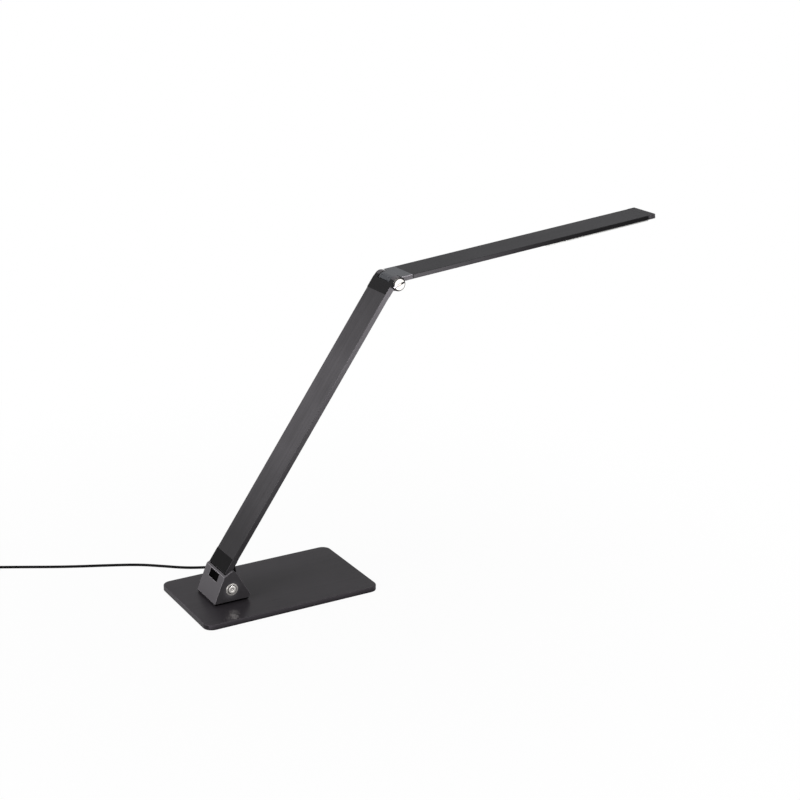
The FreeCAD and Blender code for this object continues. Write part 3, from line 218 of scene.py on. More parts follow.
def build_floor():
    mesh = bpy.data.meshes.new("floor")
    shape = bmesh.new()
    bmesh.ops.create_grid(shape, x_segments=1, y_segments=1, size=FLOOR_HALF)
    shape.to_mesh(mesh)
    shape.free()
    floor = bpy.data.objects.new("floor", mesh)
    scene.collection.objects.link(floor)
    sheet_finish = bpy.data.materials.new("studio_sheet")
    sheet_finish.use_nodes = True
    tree = sheet_finish.node_tree
    sheet = tree.nodes["Principled BSDF"]
    sheet.inputs["Base Color"].default_value = SHEET_GREY
    sheet.inputs["Roughness"].default_value = SHEET_ROUGHNESS
    sheet.inputs["Specular IOR Level"].default_value = SHEET_GLOSS
    white = tree.nodes.new("ShaderNodeEmission")
    place = tree.nodes.new("ShaderNodeTexCoord")
    away = operate(tree, "ShaderNodeVectorMath", "LENGTH")
    fade = tree.nodes.new("ShaderNodeMapRange")
    fade.interpolation_type = "SMOOTHSTEP"
    fade.inputs["From Min"].default_value = SHADOW_REACH[0]
    fade.inputs["From Max"].default_value = SHADOW_REACH[1]
    fade.inputs["To Min"].default_value = WHITE_SHARE[0]
    fade.inputs["To Max"].default_value = WHITE_SHARE[1]
    share = operate(tree, "ShaderNodeMath", "MULTIPLY")
    mix = tree.nodes.new("ShaderNodeMixShader")
    tree.links.new(place.outputs["Object"], away.inputs[0])
    tree.links.new(away.outputs["Value"], fade.inputs["Value"])
    tree.links.new(seen_directly(tree), share.inputs[0])
    tree.links.new(fade.outputs["Result"], share.inputs[1])
    tree.links.new(share.outputs[0], mix.inputs[0])
    tree.links.new(sheet.outputs[0], mix.inputs[1])
    tree.links.new(white.outputs[0], mix.inputs[2])
    tree.links.new(mix.outputs[0], tree.nodes["Material Output"].inputs["Surface"])
    mesh.materials.append(sheet_finish)
    return floor


build_floor()
print("floor ready")

# %% [markdown]
# ## Shared effects: grain, brushed lines and turned rings
#
# Painted and moulded surfaces all have a fine grain, only finer or coarser. A node group makes it
# once: it takes a place and a scale, and puts out a colour, a roughness and a height that vary a
# little. It also takes an edge mask, which pieces carry as an attribute on their rounded edges:
# there the finish is rubbed thinner and shows lighter, unevenly, as on any lamp that is handled.
# Some pieces also put the mask on whole faces, and there its lighter colour is painted light.

# %% Sockets that all effects share
EFFECT_INPUTS = [
    ("Place", "NodeSocketVector"),
    ("Scale", "NodeSocketFloat"),
    ("Dark", "NodeSocketColor"),
    ("Light", "NodeSocketColor"),
    ("Smooth", "NodeSocketFloat"),
    ("Rough", "NodeSocketFloat"),
    ("Edge", "NodeSocketFloat"),
    ("Wear and light", "NodeSocketColor"),
]
EFFECT_OUTPUTS = [
    ("Colour", "NodeSocketColor"),
    ("Roughness", "NodeSocketFloat"),
    ("Height", "NodeSocketFloat"),
]


def new_effect(name):
    """Empty node group with the sockets of an effect."""
    group = bpy.data.node_groups.new(name, "ShaderNodeTree")
    for title, kind in EFFECT_INPUTS:
        group.interface.new_socket(title, in_out="INPUT", socket_type=kind)
    for title, kind in EFFECT_OUTPUTS:
        group.interface.new_socket(title, in_out="OUTPUT", socket_type=kind)
    return group, group.nodes.new("NodeGroupInput"), group.nodes.new("NodeGroupOutput")


print("effect sockets:", [title for title, kind in EFFECT_INPUTS])

# %% [markdown]
# Every effect ends in the same way. One value from 0 to 1 picks a colour between the dark and the
# light one and a roughness between the two limits. The mask brings in the colour of worn edges and
# of painted light on top, and the same value makes it uneven.

# %% Last nodes of an effect
UNEVEN_RANGE = (0.3, 0.6)
LEAST_MASK = 0.45


def finish_effect(group, ins, outs, value, height):
    """Turns one 0 to 1 value into colour and roughness, and lightens worn edges and painted light."""
    colour = group.nodes.new("ShaderNodeMix")
    colour.data_type = "RGBA"
    uneven = group.nodes.new("ShaderNodeMapRange")
    uneven.inputs["From Min"].default_value = UNEVEN_RANGE[0]
    uneven.inputs["From Max"].default_value = UNEVEN_RANGE[1]
    uneven.inputs["To Min"].default_value = LEAST_MASK
    mask_share = operate(group, "ShaderNodeMath", "MULTIPLY")
    edged = group.nodes.new("ShaderNodeMix")
    edged.data_type = "RGBA"
    rough = group.nodes.new("ShaderNodeMapRange")
    group.links.new(value, colour.inputs["Factor"])
    group.links.new(ins.outputs["Dark"], colour.inputs["A"])
    group.links.new(ins.outputs["Light"], colour.inputs["B"])
    group.links.new(value, uneven.inputs["Value"])
    group.links.new(uneven.outputs["Result"], mask_share.inputs[0])
    group.links.new(ins.outputs["Edge"], mask_share.inputs[1])
    group.links.new(mask_share.outputs[0], edged.inputs["Factor"])
    group.links.new(colour.outputs["Result"], edged.inputs["A"])
    group.links.new(ins.outputs["Wear and light"], edged.inputs["B"])
    group.links.new(value, rough.inputs["Value"])
    group.links.new(ins.outputs["Smooth"], rough.inputs["To Min"])
    group.links.new(ins.outputs["Rough"], rough.inputs["To Max"])
    group.links.new(edged.outputs["Result"], outs.inputs["Colour"])
    group.links.new(rough.outputs["Result"], outs.inputs["Roughness"])
    group.links.new(height, outs.inputs["Height"])


print("least rubbing of an edge:", LEAST_MASK)

# %% [markdown]
# The first effect is the grain itself. Half of it is a fine noise at the scale that the finish asks
# for, and half is a broad one, because paint and moulded plastic are never quite even over a hand's
# width. Only the fine half goes into the height.

# %% Effect: fine grain
def noise(group, detail, scale=1.0):
    made = group.nodes.new("ShaderNodeTexNoise")
    made.inputs["Scale"].default_value = scale
    made.inputs["Detail"].default_value = detail
    return made


def blended(group, first, second, share):
    """Mean of two values, with the given share of the second."""
    both = group.nodes.new("ShaderNodeMix")
    both.inputs["Factor"].default_value = share
    group.links.new(first, both.inputs["A"])
    group.links.new(second, both.inputs["B"])
    return both.outputs["Result"]


def build_fine_grain():
    group, ins, outs = new_effect("fine_grain")
    fine = noise(group, detail=3.0)
    broad = noise(group, detail=5.0, scale=22.0)
    group.links.new(ins.outputs["Place"], fine.inputs["Vector"])
    group.links.new(ins.outputs["Scale"], fine.inputs["Scale"])
    group.links.new(ins.outputs["Place"], broad.inputs["Vector"])
    both = blended(group, fine.outputs[0], broad.outputs[0], share=0.5)
    finish_effect(group, ins, outs, both, fine.outputs[0])
    return group


fine_grain = build_fine_grain()
print("effect:", fine_grain.name)

# %% [markdown]
# Brushed metal is grain that has been drawn out along one direction. Stretching the place before
# the noise reads it gives the long thin lines: little change along the arm, quick change across.
# A second, coarser set of lines keeps the brushing visible from further away, and broad soft clouds
# stand for the uneven dye.

# %% Effect: brushed lines
LONG_LINES = (0.02, 1.0, 1.0)


def build_brushed_lines():
    group, ins, outs = new_effect("brushed_lines")
    stretch = operate(group, "ShaderNodeVectorMath", "MULTIPLY")
    stretch.inputs[1].default_value = LONG_LINES
    lines = noise(group, detail=5.0)
    coarse = noise(group, detail=3.0, scale=330.0)
    clouds = noise(group, detail=2.0, scale=24.0)
    group.links.new(ins.outputs["Place"], clouds.inputs["Vector"])
    group.links.new(ins.outputs["Place"], stretch.inputs[0])
    for set_of_lines in (lines, coarse):
        group.links.new(stretch.outputs[0], set_of_lines.inputs["Vector"])
    group.links.new(ins.outputs["Scale"], lines.inputs["Scale"])
    both = blended(group, lines.outputs[0], coarse.outputs[0], share=0.5)
    clouded = blended(group, both, clouds.outputs[0], share=0.35)
    finish_effect(group, ins, outs, clouded, lines.outputs[0])
    return group


brushed_lines = build_brushed_lines()
print("effect:", brushed_lines.name)

# %% [markdown]
# A bolt head is faced on a lathe, which leaves fine rings round its axis. The rings come from the
# distance to the Y axis, after the material has moved that axis to the middle of the bolt.

# %% Effect: turned rings
WITHOUT_Y = (1.0, 0.0, 1.0)


def build_turned_rings():
    group, ins, outs = new_effect("turned_rings")
    flat = operate(group, "ShaderNodeVectorMath", "MULTIPLY")
    flat.inputs[1].default_value = WITHOUT_Y
    radius = operate(group, "ShaderNodeVectorMath", "LENGTH")
    rings = noise(group, detail=4.0)
    rings.noise_dimensions = "1D"
    group.links.new(ins.outputs["Place"], flat.inputs[0])
    group.links.new(flat.outputs[0], radius.inputs[0])
    group.links.new(radius.outputs["Value"], rings.inputs["W"])
    group.links.new(ins.outputs["Scale"], rings.inputs["Scale"])
    finish_effect(group, ins, outs, rings.outputs[0], rings.outputs[0])
    return group


turned_rings = build_turned_rings()
print("effect:", turned_rings.name)

# %% [markdown]
# ## Finishes
#
# Every finish is one call: which effect it uses and at what scale, its two colours, its two
# roughness limits, the colour that its mask brings in on worn edges and as painted light, and how
# deep its relief goes. Values that are the same everywhere, such as how metallic it is, are set on
# the shader itself.

# %% Colours of paint and steel
LESS_GREEN = 0.06
MORE_BLUE = 0.015
STEEL_TINT = (1.0, 0.96, 0.92)


def grey(value, plum=1.0):
    """A grey with a little less green, which is how black dye and paint look in daylight."""
    return (value, value * (1 - LESS_GREEN * plum), value * (1 + MORE_BLUE * plum))


def greys(dark, light, plum=1.0):
    return (grey(dark, plum), grey(light, plum))


def steel(value):
    """A grey that is a little warm, as bare steel is."""
    return tuple(value * part for part in STEEL_TINT)


def steels(dark, light):
    return (steel(dark), steel(light))


print("a middle grey:", [round(part, 3) for part in grey(0.5)])

# %% [markdown]
# The material itself is short: object coordinates go through a Mapping node into the effect, and what
# comes out of it feeds the shader. The Mapping node turns brushed lines to the slope of a piece, and
# centres turned rings on a bolt.

# %% A finish from an effect
EDGE_MASK = "wear_and_light_mask"
BUMP_STRENGTH = 0.5


def finish(name, effect, scale, colours, roughness, wear_and_light, relief, metallic=0.0, gloss=0.5):
    made = bpy.data.materials.new(name)
    made.use_nodes = True
    tree = made.node_tree
    surface = tree.nodes["Principled BSDF"]
    surface.inputs["Metallic"].default_value = metallic
    surface.inputs["Specular IOR Level"].default_value = gloss
    place = tree.nodes.new("ShaderNodeTexCoord")
    mapping = tree.nodes.new("ShaderNodeMapping")
    mask = tree.nodes.new("ShaderNodeAttribute")
    mask.attribute_name = EDGE_MASK
    group = tree.nodes.new("ShaderNodeGroup")
    group.node_tree = effect
    group.inputs["Scale"].default_value = scale
    group.inputs["Dark"].default_value = (*colours[0], 1.0)
    group.inputs["Light"].default_value = (*colours[1], 1.0)
    group.inputs["Smooth"].default_value = roughness[0]
    group.inputs["Rough"].default_value = roughness[1]
    group.inputs["Wear and light"].default_value = (*wear_and_light, 1.0)
    bump = tree.nodes.new("ShaderNodeBump")
    bump.inputs["Strength"].default_value = BUMP_STRENGTH
    bump.inputs["Distance"].default_value = relief
    tree.links.new(place.outputs["Object"], mapping.inputs["Vector"])
    tree.links.new(mapping.outputs["Vector"], group.inputs["Place"])
    tree.links.new(mask.outputs["Fac"], group.inputs["Edge"])
    tree.links.new(group.outputs["Colour"], surface.inputs["Base Color"])
    tree.links.new(group.outputs["Roughness"], surface.inputs["Roughness"])
    tree.links.new(group.outputs["Height"], bump.inputs["Height"])
    tree.links.new(bump.outputs["Normal"], surface.inputs["Normal"])
    return made


def turned_to(made, angle):
    """Turns a finish's effect about Y, so that brushed lines follow a sloping piece."""
    made.node_tree.nodes["Mapping"].inputs["Rotation"].default_value = (0.0, angle, 0.0)
    return made


def centred_on(made, point):
    """Moves a finish's effect, so that turned rings run round a bolt."""
    made.node_tree.nodes["Mapping"].inputs["Location"].default_value = (-point.x, -point.y, -point.z)
    return made


print("edge mask:", EDGE_MASK)

# %% [markdown]
# The base and the pedestal are sprayed in a dark satin paint, the pedestal a shade lighter. The base
# is brushed first, so faint lines show through its paint. The two caps of the arm are near black, and
# the hinge block of the head is a bluish grey. Their gloss is kept low, because the lamp is seen at a
# flat angle and would otherwise mirror the white room.

# %% Paints
FINE = 0.01 * MM
PLUM = 1.7
dark_coat = finish("dark_coat", brushed_lines, scale=1900, colours=greys(0.01, 0.031, PLUM),
                   roughness=(0.265, 0.29), wear_and_light=grey(0.095, PLUM), relief=0.3 * FINE, gloss=0.05)
grey_coat = finish("grey_coat", fine_grain, scale=2100, colours=greys(0.048, 0.09),
                   roughness=(0.4, 0.5), wear_and_light=grey(0.3), relief=2 * FINE, gloss=0.06)
black_cast = finish("black_cast", fine_grain, scale=1900, colours=greys(0.003, 0.006),
                    roughness=(0.3, 0.42), wear_and_light=grey(0.08), relief=2 * FINE, gloss=0.03)
dark_cast = finish("dark_cast", fine_grain, scale=1900, colours=greys(0.006, 0.011),
                   roughness=(0.3, 0.42), wear_and_light=grey(0.1), relief=2 * FINE, gloss=0.045)
hinge_blue = ((0.044, 0.045, 0.049), (0.064, 0.066, 0.072))
hinge_grey = finish("hinge_grey", fine_grain, scale=1900, colours=hinge_blue,
                    roughness=(0.34, 0.44), wear_and_light=grey(0.3), relief=2 * FINE, gloss=0.05)
print("paints ready")

# %% [markdown]
# Arm and head are brushed and then dyed nearly black, so the brushing shows as fine lighter lines.
# Their sides have finishes of their own; the lighter sides of the arm and of the block are painted
# light. The mask lightens the arm's face at half its length and the sides towards the elbow, which
# is painted light too. The mask colour of these finishes is what it brings in.

# %% Brushed metal
arm_brush = finish("arm_brush", brushed_lines, scale=1500, colours=greys(0.006, 0.034),
                   roughness=(0.34, 0.5), wear_and_light=grey(0.095), relief=FINE, metallic=0.1, gloss=0.08)
head_colours = ((0.008, 0.0079, 0.0084), (0.042, 0.0412, 0.0442))
head_brush = finish("head_brush", brushed_lines, scale=1500, colours=head_colours,
                    roughness=(0.36, 0.52), wear_and_light=grey(0.05), relief=FINE, gloss=0.02)
# The arm's sides are a lighter copy of its face's finish: painted light.
arm_side = finish("arm_side", brushed_lines, scale=1700, colours=greys(0.035, 0.06),
                  roughness=(0.4, 0.5), wear_and_light=grey(0.128), relief=FINE, gloss=0.04)
head_side = finish("head_side", brushed_lines, scale=1700, colours=greys(0.011, 0.023),
                   roughness=(0.4, 0.5), wear_and_light=grey(0.085), relief=FINE, gloss=0.04)
for made in (arm_brush, arm_side):
    turned_to(made, ARM_ANGLE)
for made in (head_brush, head_side):
    turned_to(made, HEAD_ANGLE)
# The block's sides are lighter than its top: painted light.
block_side = finish("block_side", fine_grain, scale=1700, colours=greys(0.08, 0.12),
                    roughness=(0.4, 0.5), wear_and_light=grey(0.5), relief=FINE, gloss=0.05)
cap_side = finish("cap_side", fine_grain, scale=1700, colours=greys(0.16, 0.24),
                  roughness=(0.4, 0.5), wear_and_light=grey(0.22), relief=FINE, gloss=0.05)
print("brushed finishes ready")

# %% [markdown]
# The bolts are bare steel, turned and then polished, so their rings are centred on the hinge that
# they belong to. The crown steel is lighter than the flange steel, as painted light, and the dark
# finish of grooves is painted shade. Screws, nuts and the weight stay plain, and the blades of the
# plug are brass.

# %% Bare metals
# Crown and flange are lit and shaded copies of one steel: painted light and painted shade.
crown_steel = finish("crown_steel", turned_rings, scale=2600, colours=steels(0.62, 0.8),
                     roughness=(0.3, 0.4), wear_and_light=steel(0.85), relief=FINE, metallic=0.85)
flange_steel = finish("flange_steel", turned_rings, scale=2600, colours=steels(0.36, 0.5),
                      roughness=(0.34, 0.44), wear_and_light=steel(0.55), relief=FINE, metallic=0.8)
for made in (crown_steel, flange_steel):
    centred_on(made, LOWER_PIVOT)
elbow_steel = finish("elbow_steel", turned_rings, scale=2600, colours=steels(0.76, 0.94),
                     roughness=(0.14, 0.24), wear_and_light=steel(0.85), relief=FINE, metallic=1.0)
centred_on(elbow_steel, ELBOW)
# The dark finish of grooves, slots, throats and the bolt's border is painted shade; it also marks the seam of
# the head.
groove_dark = finish("groove_dark", fine_grain, scale=1500, colours=greys(0.01, 0.02),
                     roughness=(0.4, 0.55), wear_and_light=grey(0.02), relief=FINE, gloss=0.1)
plain_steel = finish("plain_steel", fine_grain, scale=900, colours=greys(0.38, 0.5),
                     roughness=(0.34, 0.5), wear_and_light=grey(0.6), relief=FINE, metallic=1.0)
brass = ((0.6, 0.44, 0.2), (0.74, 0.58, 0.3))
blade_brass = finish("blade_brass", fine_grain, scale=1200, colours=brass,
                     roughness=(0.24, 0.36), wear_and_light=(0.85, 0.72, 0.42), relief=FINE, metallic=1.0)
print("bare metals ready")

# %% [markdown]
# Moulded pieces keep the grain of their mould. The switch is plain black, the mat and the boots are
# dull rubber, and the lens is milky so that the light chips behind it don't show as dots.

# %% Plastics and rubber
black_plastic = finish("black_plastic", fine_grain, scale=1500, colours=greys(0.001, 0.003),
                       roughness=(0.5, 0.62), wear_and_light=grey(0.004), relief=4 * FINE, gloss=0.0)
rocker_gloss = finish("rocker_gloss", fine_grain, scale=900, colours=greys(0.0005, 0.002),
                      roughness=(0.3, 0.4), wear_and_light=grey(0.003), relief=FINE, gloss=0.004)
mat_rubber = finish("mat_rubber", fine_grain, scale=700, colours=greys(0.011, 0.018),
                    roughness=(0.75, 0.9), wear_and_light=grey(0.03), relief=8 * FINE, gloss=0.2)
cord_sheath = finish("cord_sheath", fine_grain, scale=1400, colours=greys(0.003, 0.006),
                     roughness=(0.36, 0.46), wear_and_light=grey(0.02), relief=FINE, gloss=0.04)
supply_plastic = finish("supply_plastic", fine_grain, scale=1300, colours=greys(0.008, 0.013),
                        roughness=(0.42, 0.55), wear_and_light=grey(0.03), relief=5 * FINE, gloss=0.2)
tie_plastic = finish("tie_plastic", fine_grain, scale=1000, colours=greys(0.012, 0.02),
                     roughness=(0.5, 0.62), wear_and_light=grey(0.03), relief=3 * FINE, gloss=0.2)
milk = ((0.86, 0.86, 0.83), (0.92, 0.92, 0.89))
milky_lens = finish("milky_lens", fine_grain, scale=1600, colours=milk,
                    roughness=(0.3, 0.4), wear_and_light=(0.94, 0.94, 0.92), relief=FINE)
print("plastics and rubber ready")

# %% [markdown]
# Three finishes are only seen when the lamp is taken apart: the pale slippery plastic of the washers,
# the white board and the yellow chips on it.

# %% Inside finishes
pale = ((0.52, 0.52, 0.5), (0.6, 0.6, 0.57))
bearing_white = finish("bearing_white", fine_grain, scale=1500, colours=pale,
                       roughness=(0.45, 0.55), wear_and_light=grey(0.65), relief=FINE)
mask_white = ((0.72, 0.72, 0.7), (0.8, 0.8, 0.78))
board_white = finish("board_white", fine_grain, scale=1100, colours=mask_white,
                     roughness=(0.4, 0.5), wear_and_light=grey(0.85), relief=FINE)
phosphor = ((0.78, 0.62, 0.12), (0.88, 0.74, 0.22))
led_phosphor = finish("led_phosphor", fine_grain, scale=2200, colours=phosphor,
                      roughness=(0.35, 0.45), wear_and_light=(0.9, 0.8, 0.4), relief=FINE)
print("inside finishes ready")

# %% [markdown]
# ## Dressing the solids
#
# A solid whose shape is already right needs only its finish. The list says which finish each node
# takes, inside pieces too, because they show when the lamp is taken apart.

# %% Finishes on the solids
SOLID_FINISH = {
    "base_weight": plain_steel,
    "base_screws": plain_steel,
    "slip_washer": bearing_white,
    "swivel_plinth": black_plastic,
    "swivel_nut": plain_steel,
    "swivel_screws": plain_steel,
    "hinge_washers": bearing_white,
    "hinge_nuts": plain_steel,
    "arm_screws": plain_steel,
    "arm_wire": cord_sheath,
    "elbow_washers": bearing_white,
    "cover_screws": plain_steel,
    "led_board": board_white,
    "led_chips": led_phosphor,
    "head_wire": cord_sheath,
    "base_wire": cord_sheath,
}


def paint(item, made):
    item.data.materials.clear()
    item.data.materials.append(made)


for node, made in SOLID_FINISH.items():
    paint(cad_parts[node], made)
print("solids with a finish of their own:", len(SOLID_FINISH))

# %% [markdown]
# ## Rounded edges
#
# No real edge is a line. A painted casting has edges of a few tenths of a millimetre, and the light
# line along them is what makes it look solid. A copy of the solid is merged, its flat triangles are
# joined to whole faces, and bevel then rounds the sharp edges. The new faces get the edge mask.

# %% Helpers for rounded copies
SAME_PLACE = 0.002 * MM
SAME_PLANE = math.radians(0.6)


def merged_copy(node):
    """Mesh of a solid, with its loose triangles joined to whole faces."""
    shape = bmesh.new()
    shape.from_mesh(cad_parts[node].data)
    bmesh.ops.remove_doubles(shape, verts=shape.verts, dist=SAME_PLACE)
    bmesh.ops.dissolve_limit(shape, angle_limit=SAME_PLANE, verts=shape.verts, edges=shape.edges)
    return shape


def edge_mask(shape):
    """Layer that holds the mask on the corners of the faces."""
    return shape.loops.layers.float.get(EDGE_MASK) or shape.loops.layers.float.new(EDGE_MASK)


def round_edges(shape, width, segments=3, limit=28.0, chosen=lambda edge: True):
    """Rounds the chosen edges sharper than the limit and marks the new faces as rubbed edges."""
    mask = edge_mask(shape)
    pairs = [e for e in shape.edges if len(e.link_faces) == 2 and chosen(e)]
    sharp = [e for e in pairs if e.calc_face_angle() > math.radians(limit)]
    made = bmesh.ops.bevel(shape, geom=sharp, offset=width, segments=segments, profile=0.5,
                           affect="EDGES", clamp_overlap=True, material=-1)
    for face in made["faces"]:
        for corner in face.loops:
            corner[mask] = 1.0
    return made["faces"]


def without(index):
    """Rule that leaves out the edges of faces with a given finish."""
    return lambda edge: not any(f.material_index == index for f in edge.link_faces)


print("helpers for rounded copies ready")

# %% [markdown]
# A finished shape becomes an object in one call. It gets its finishes, it rides on the body that it
# moves with, and it names the solids that it stands for. The faces are shaded smooth, with a sharp
# edge wherever two of them meet at a clear angle.

# %% From a shape to a piece
def shade(shape, limit=40.0):
    """Smooth faces, with a sharp edge wherever two faces meet at more than the limit."""
    for face in shape.faces:
        face.smooth = True
    for edge in shape.edges:
        edge.smooth = len(edge.link_faces) == 2 and edge.calc_face_angle() < math.radians(limit)


def add_piece(name, shape, finishes, body, slot_name, *nodes):
    """New object from a bmesh, which rides on a body in place of some solids."""
    shade(shape)
    mesh = bpy.data.meshes.new(name)
    shape.to_mesh(mesh)
    shape.free()
    for made in finishes:
        mesh.materials.append(made)
    item = bpy.data.objects.new(name, mesh)
    scene.collection.objects.link(item)
    item.modifiers.new("flat_normals", "WEIGHTED_NORMAL").keep_sharp = True
    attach(item, body)
    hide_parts(*nodes)
    print(name, "faces:", len(mesh.polygons))
    return item


def soft_copy(node, width, made, body, slot_name, segments=3):
    shape = merged_copy(node)
    round_edges(shape, width, segments)
    return add_piece(node + "_soft", shape, [made], body, slot_name, node)


print("helpers for pieces ready")

# %% [markdown]
# Some pieces need a cut before their edges are rounded. Bisecting a whole shape by a plane adds a line
# of edges and takes nothing away. Faces are then found by where they lie and which way they look.

# %% Helpers for cuts and faces
SNAP = 0.001 * MM
SLACK = 0.05 * MM
SIDEWAYS = 0.95
DOWNWARD = -0.9


def cut_across(shape, place, along):
    """Cuts a whole shape by a plane, without taking anything away."""
    everything = shape.verts[:] + shape.edges[:] + shape.faces[:]
    bmesh.ops.bisect_plane(shape, geom=everything, dist=SNAP, plane_co=place, plane_no=along)


def underside(shape, level):
    """Faces that look down and lie at a level."""
    down = [f for f in shape.faces if f.normal.z < DOWNWARD]
    return [f for f in down if f.calc_center_median().z < level + SLACK]


print("helpers for cuts and faces ready")

# %% [markdown]
# ## The base
#
# The base is a shallow pressed shell over a steel plate. Its top edge is already rounded in the
# solid, so only the lower edges are bevelled. The rounded band along the top gets the mask as a
# painted highlight, and the front side gets it as painted light, less and less towards the table.

# %% Base shell
BAND_HIGHLIGHT = 0.5
BAND_TILT = (0.25, 0.93)
FRONT_TILT = -0.7
LEAST_FRONT_LIGHT = 0.05


def build_base_shell():
    low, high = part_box("base_shell")
    shape = merged_copy("base_shell")
    round_edges(shape, width=0.25 * MM)
    mask = edge_mask(shape)
    # The top band is a painted highlight; the front grows lighter upwards as painted light.
    for face in shape.faces:
        band = BAND_HIGHLIGHT if BAND_TILT[0] < face.normal.z < BAND_TILT[1] else 0.0
        front = face.normal.y < FRONT_TILT and not band
        for corner in face.loops:
            rise = (corner.vert.co.z - low[2]) / (high[2] - low[2])
            corner[mask] = LEAST_FRONT_LIGHT + (1 - LEAST_FRONT_LIGHT) * rise if front else band
    return add_piece("base_pressing", shape, [dark_coat], "base", "dark_coat", "base_shell")


build_base_shell()

# %% [markdown]
# The mat under the base is moulded with shallow ribs, so that it grips and lets no air cushion
# form. The underside is cut across at even steps, and every second strip is inset and pushed in.

# %% Ribbed mat
RIB_STEP = 6.5 * MM
RIB_BORDER = 1.2 * MM
RIB_SLOPE = 0.2 * MM
RIB_DEPTH = 0.35 * MM


def build_mat():
    low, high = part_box("base_mat")
    shape = merged_copy("base_mat")
    count = int((high[0] - low[0]) / RIB_STEP)
    start = (high[0] + low[0] - count * RIB_STEP) / 2
    for i in range(count + 1):
        cut_across(shape, X_AXIS * (start + i * RIB_STEP), X_AXIS)
    under = underside(shape, low[2])
    strips = [f for f in under if int((f.calc_center_median().x - start) / RIB_STEP) % 2]
    bmesh.ops.inset_individual(shape, faces=strips, thickness=RIB_BORDER, depth=0.0)
    bmesh.ops.inset_individual(shape, faces=strips, thickness=RIB_SLOPE, depth=-RIB_DEPTH)
    round_edges(shape, width=0.1 * MM, segments=1, limit=50.0)
    return add_piece("ribbed_mat", shape, [mat_rubber], "base", "mat_rubber", "base_mat")


build_mat()

# %% [markdown]
# ## The pedestal and the switch
#
# The pedestal is a small casting: two cheeks and a sloping back, with a window for the switch just
# under the rim. A lip runs round its foot, set in a little, and hides the swivel; it is black as a
# painted shadow of the gap under the pedestal. Two insets of the foot split off the lip's band, and a
# third pushes the band down.

# %% Pedestal
LIP_INSET = 0.7 * MM
LIP_WIDTH = 1.3 * MM
LIP_SLOPE = 0.05 * MM
LIP_DROP = 1.6 * MM
IN_PAINTED_SHADOW = 1


def build_pedestal():
    low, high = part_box("pedestal_housing")
    shape = merged_copy("pedestal_housing")
    foot = underside(shape, low[2])
    bmesh.ops.inset_region(shape, faces=foot, thickness=LIP_INSET, use_even_offset=True)
    bands = bmesh.ops.inset_region(shape, faces=foot, thickness=LIP_WIDTH, use_even_offset=True)
    reach = LIP_INSET + LIP_WIDTH

    def at_rim(face):
        middle = face.calc_center_median()
        return abs(middle.y) > high[1] - reach or not low[0] + reach < middle.x < high[0] - 2 * reach

    lip = [f for f in bands["faces"] if at_rim(f)]
    walls = bmesh.ops.inset_region(shape, faces=lip, thickness=LIP_SLOPE, depth=LIP_DROP,
                                   use_even_offset=True)
    # The lip is black as painted shadow.
    for face in lip + walls["faces"]:
        face.material_index = IN_PAINTED_SHADOW
    round_edges(shape, width=0.4 * MM, chosen=without(IN_PAINTED_SHADOW))
    print("faces of the lip:", len(lip))
    finishes = [grey_coat, black_plastic]
    return add_piece("pedestal_housing_soft", shape, finishes, "pedestal", "grey_coat", "pedestal_housing")


build_pedestal()

# %% [markdown]
# The switch is a moulded frame, clipped into the window, and a rocker that tips in it. Both sit a
# little deep, so that only black shows from outside. Their solids have the right shape, so a rounded
# copy of each is enough.

# %% Switch frame and rocker
soft_copy("switch_frame", 0.15 * MM, black_plastic, "pedestal", "black_plastic", segments=2)
soft_copy("switch_rocker", 0.2 * MM, rocker_gloss, "rocker", "rocker_plastic")

# %% [markdown]
# ## Turned pieces
#
# Bolts, nuts, boots and grommets are round, so each is half a section, spun about its axis. The
# section is a short list of radius and height, measured from the face that the piece sits on.

# %% Helper for turned pieces
def turned(shape, section, foot, axis, out, steps=48):
    """Spins a section of (radius, height) in millimetres about an axis through its foot."""
    points = [shape.verts.new(foot + out * (r * MM) + axis * (h * MM)) for r, h in section]
    lines = [shape.edges.new(pair) for pair in zip(points, points[1:])]
    bmesh.ops.spin(shape, geom=points + lines, cent=foot, axis=axis, angle=math.tau, steps=steps,
                   use_merge=True)
    bmesh.ops.remove_doubles(shape, verts=shape.verts, dist=SAME_PLACE)
    bmesh.ops.recalc_face_normals(shape, faces=shape.faces)
    return shape


print("turned pieces come next")

# %% [markdown]
# The lower hinge turns on two bolts. Each head has a flat flange, a raised crown, a groove between
# the two, and the ring that the lathe's centre leaves in the middle. The crown is painted a lighter
# steel than the flange and the ring, as painted light, and the groove nearly black, as painted
# shade. The shank goes through the cheek.

# %% Hinge bolts
BOLT_SECTION = [
    (0.0, 0.9), (0.7, 0.9), (0.95, 0.65), (1.35, 0.65), (1.55, 1.2), (2.8, 1.3), (3.9, 1.25),
    (4.2, 1.1), (4.35, 0.4), (4.85, 0.4), (5.0, 0.6), (6.2, 0.6), (6.55, 0.5), (6.7, 0.3),
    (6.7, 0.0), (3.0, 0.0), (3.0, -13.7), (0.0, -13.7),
]
CENTRE_RING = (0.7, 1.5)
SHADED_GROOVE = (4.2, 4.95)
CHEEK = 22.5 * MM


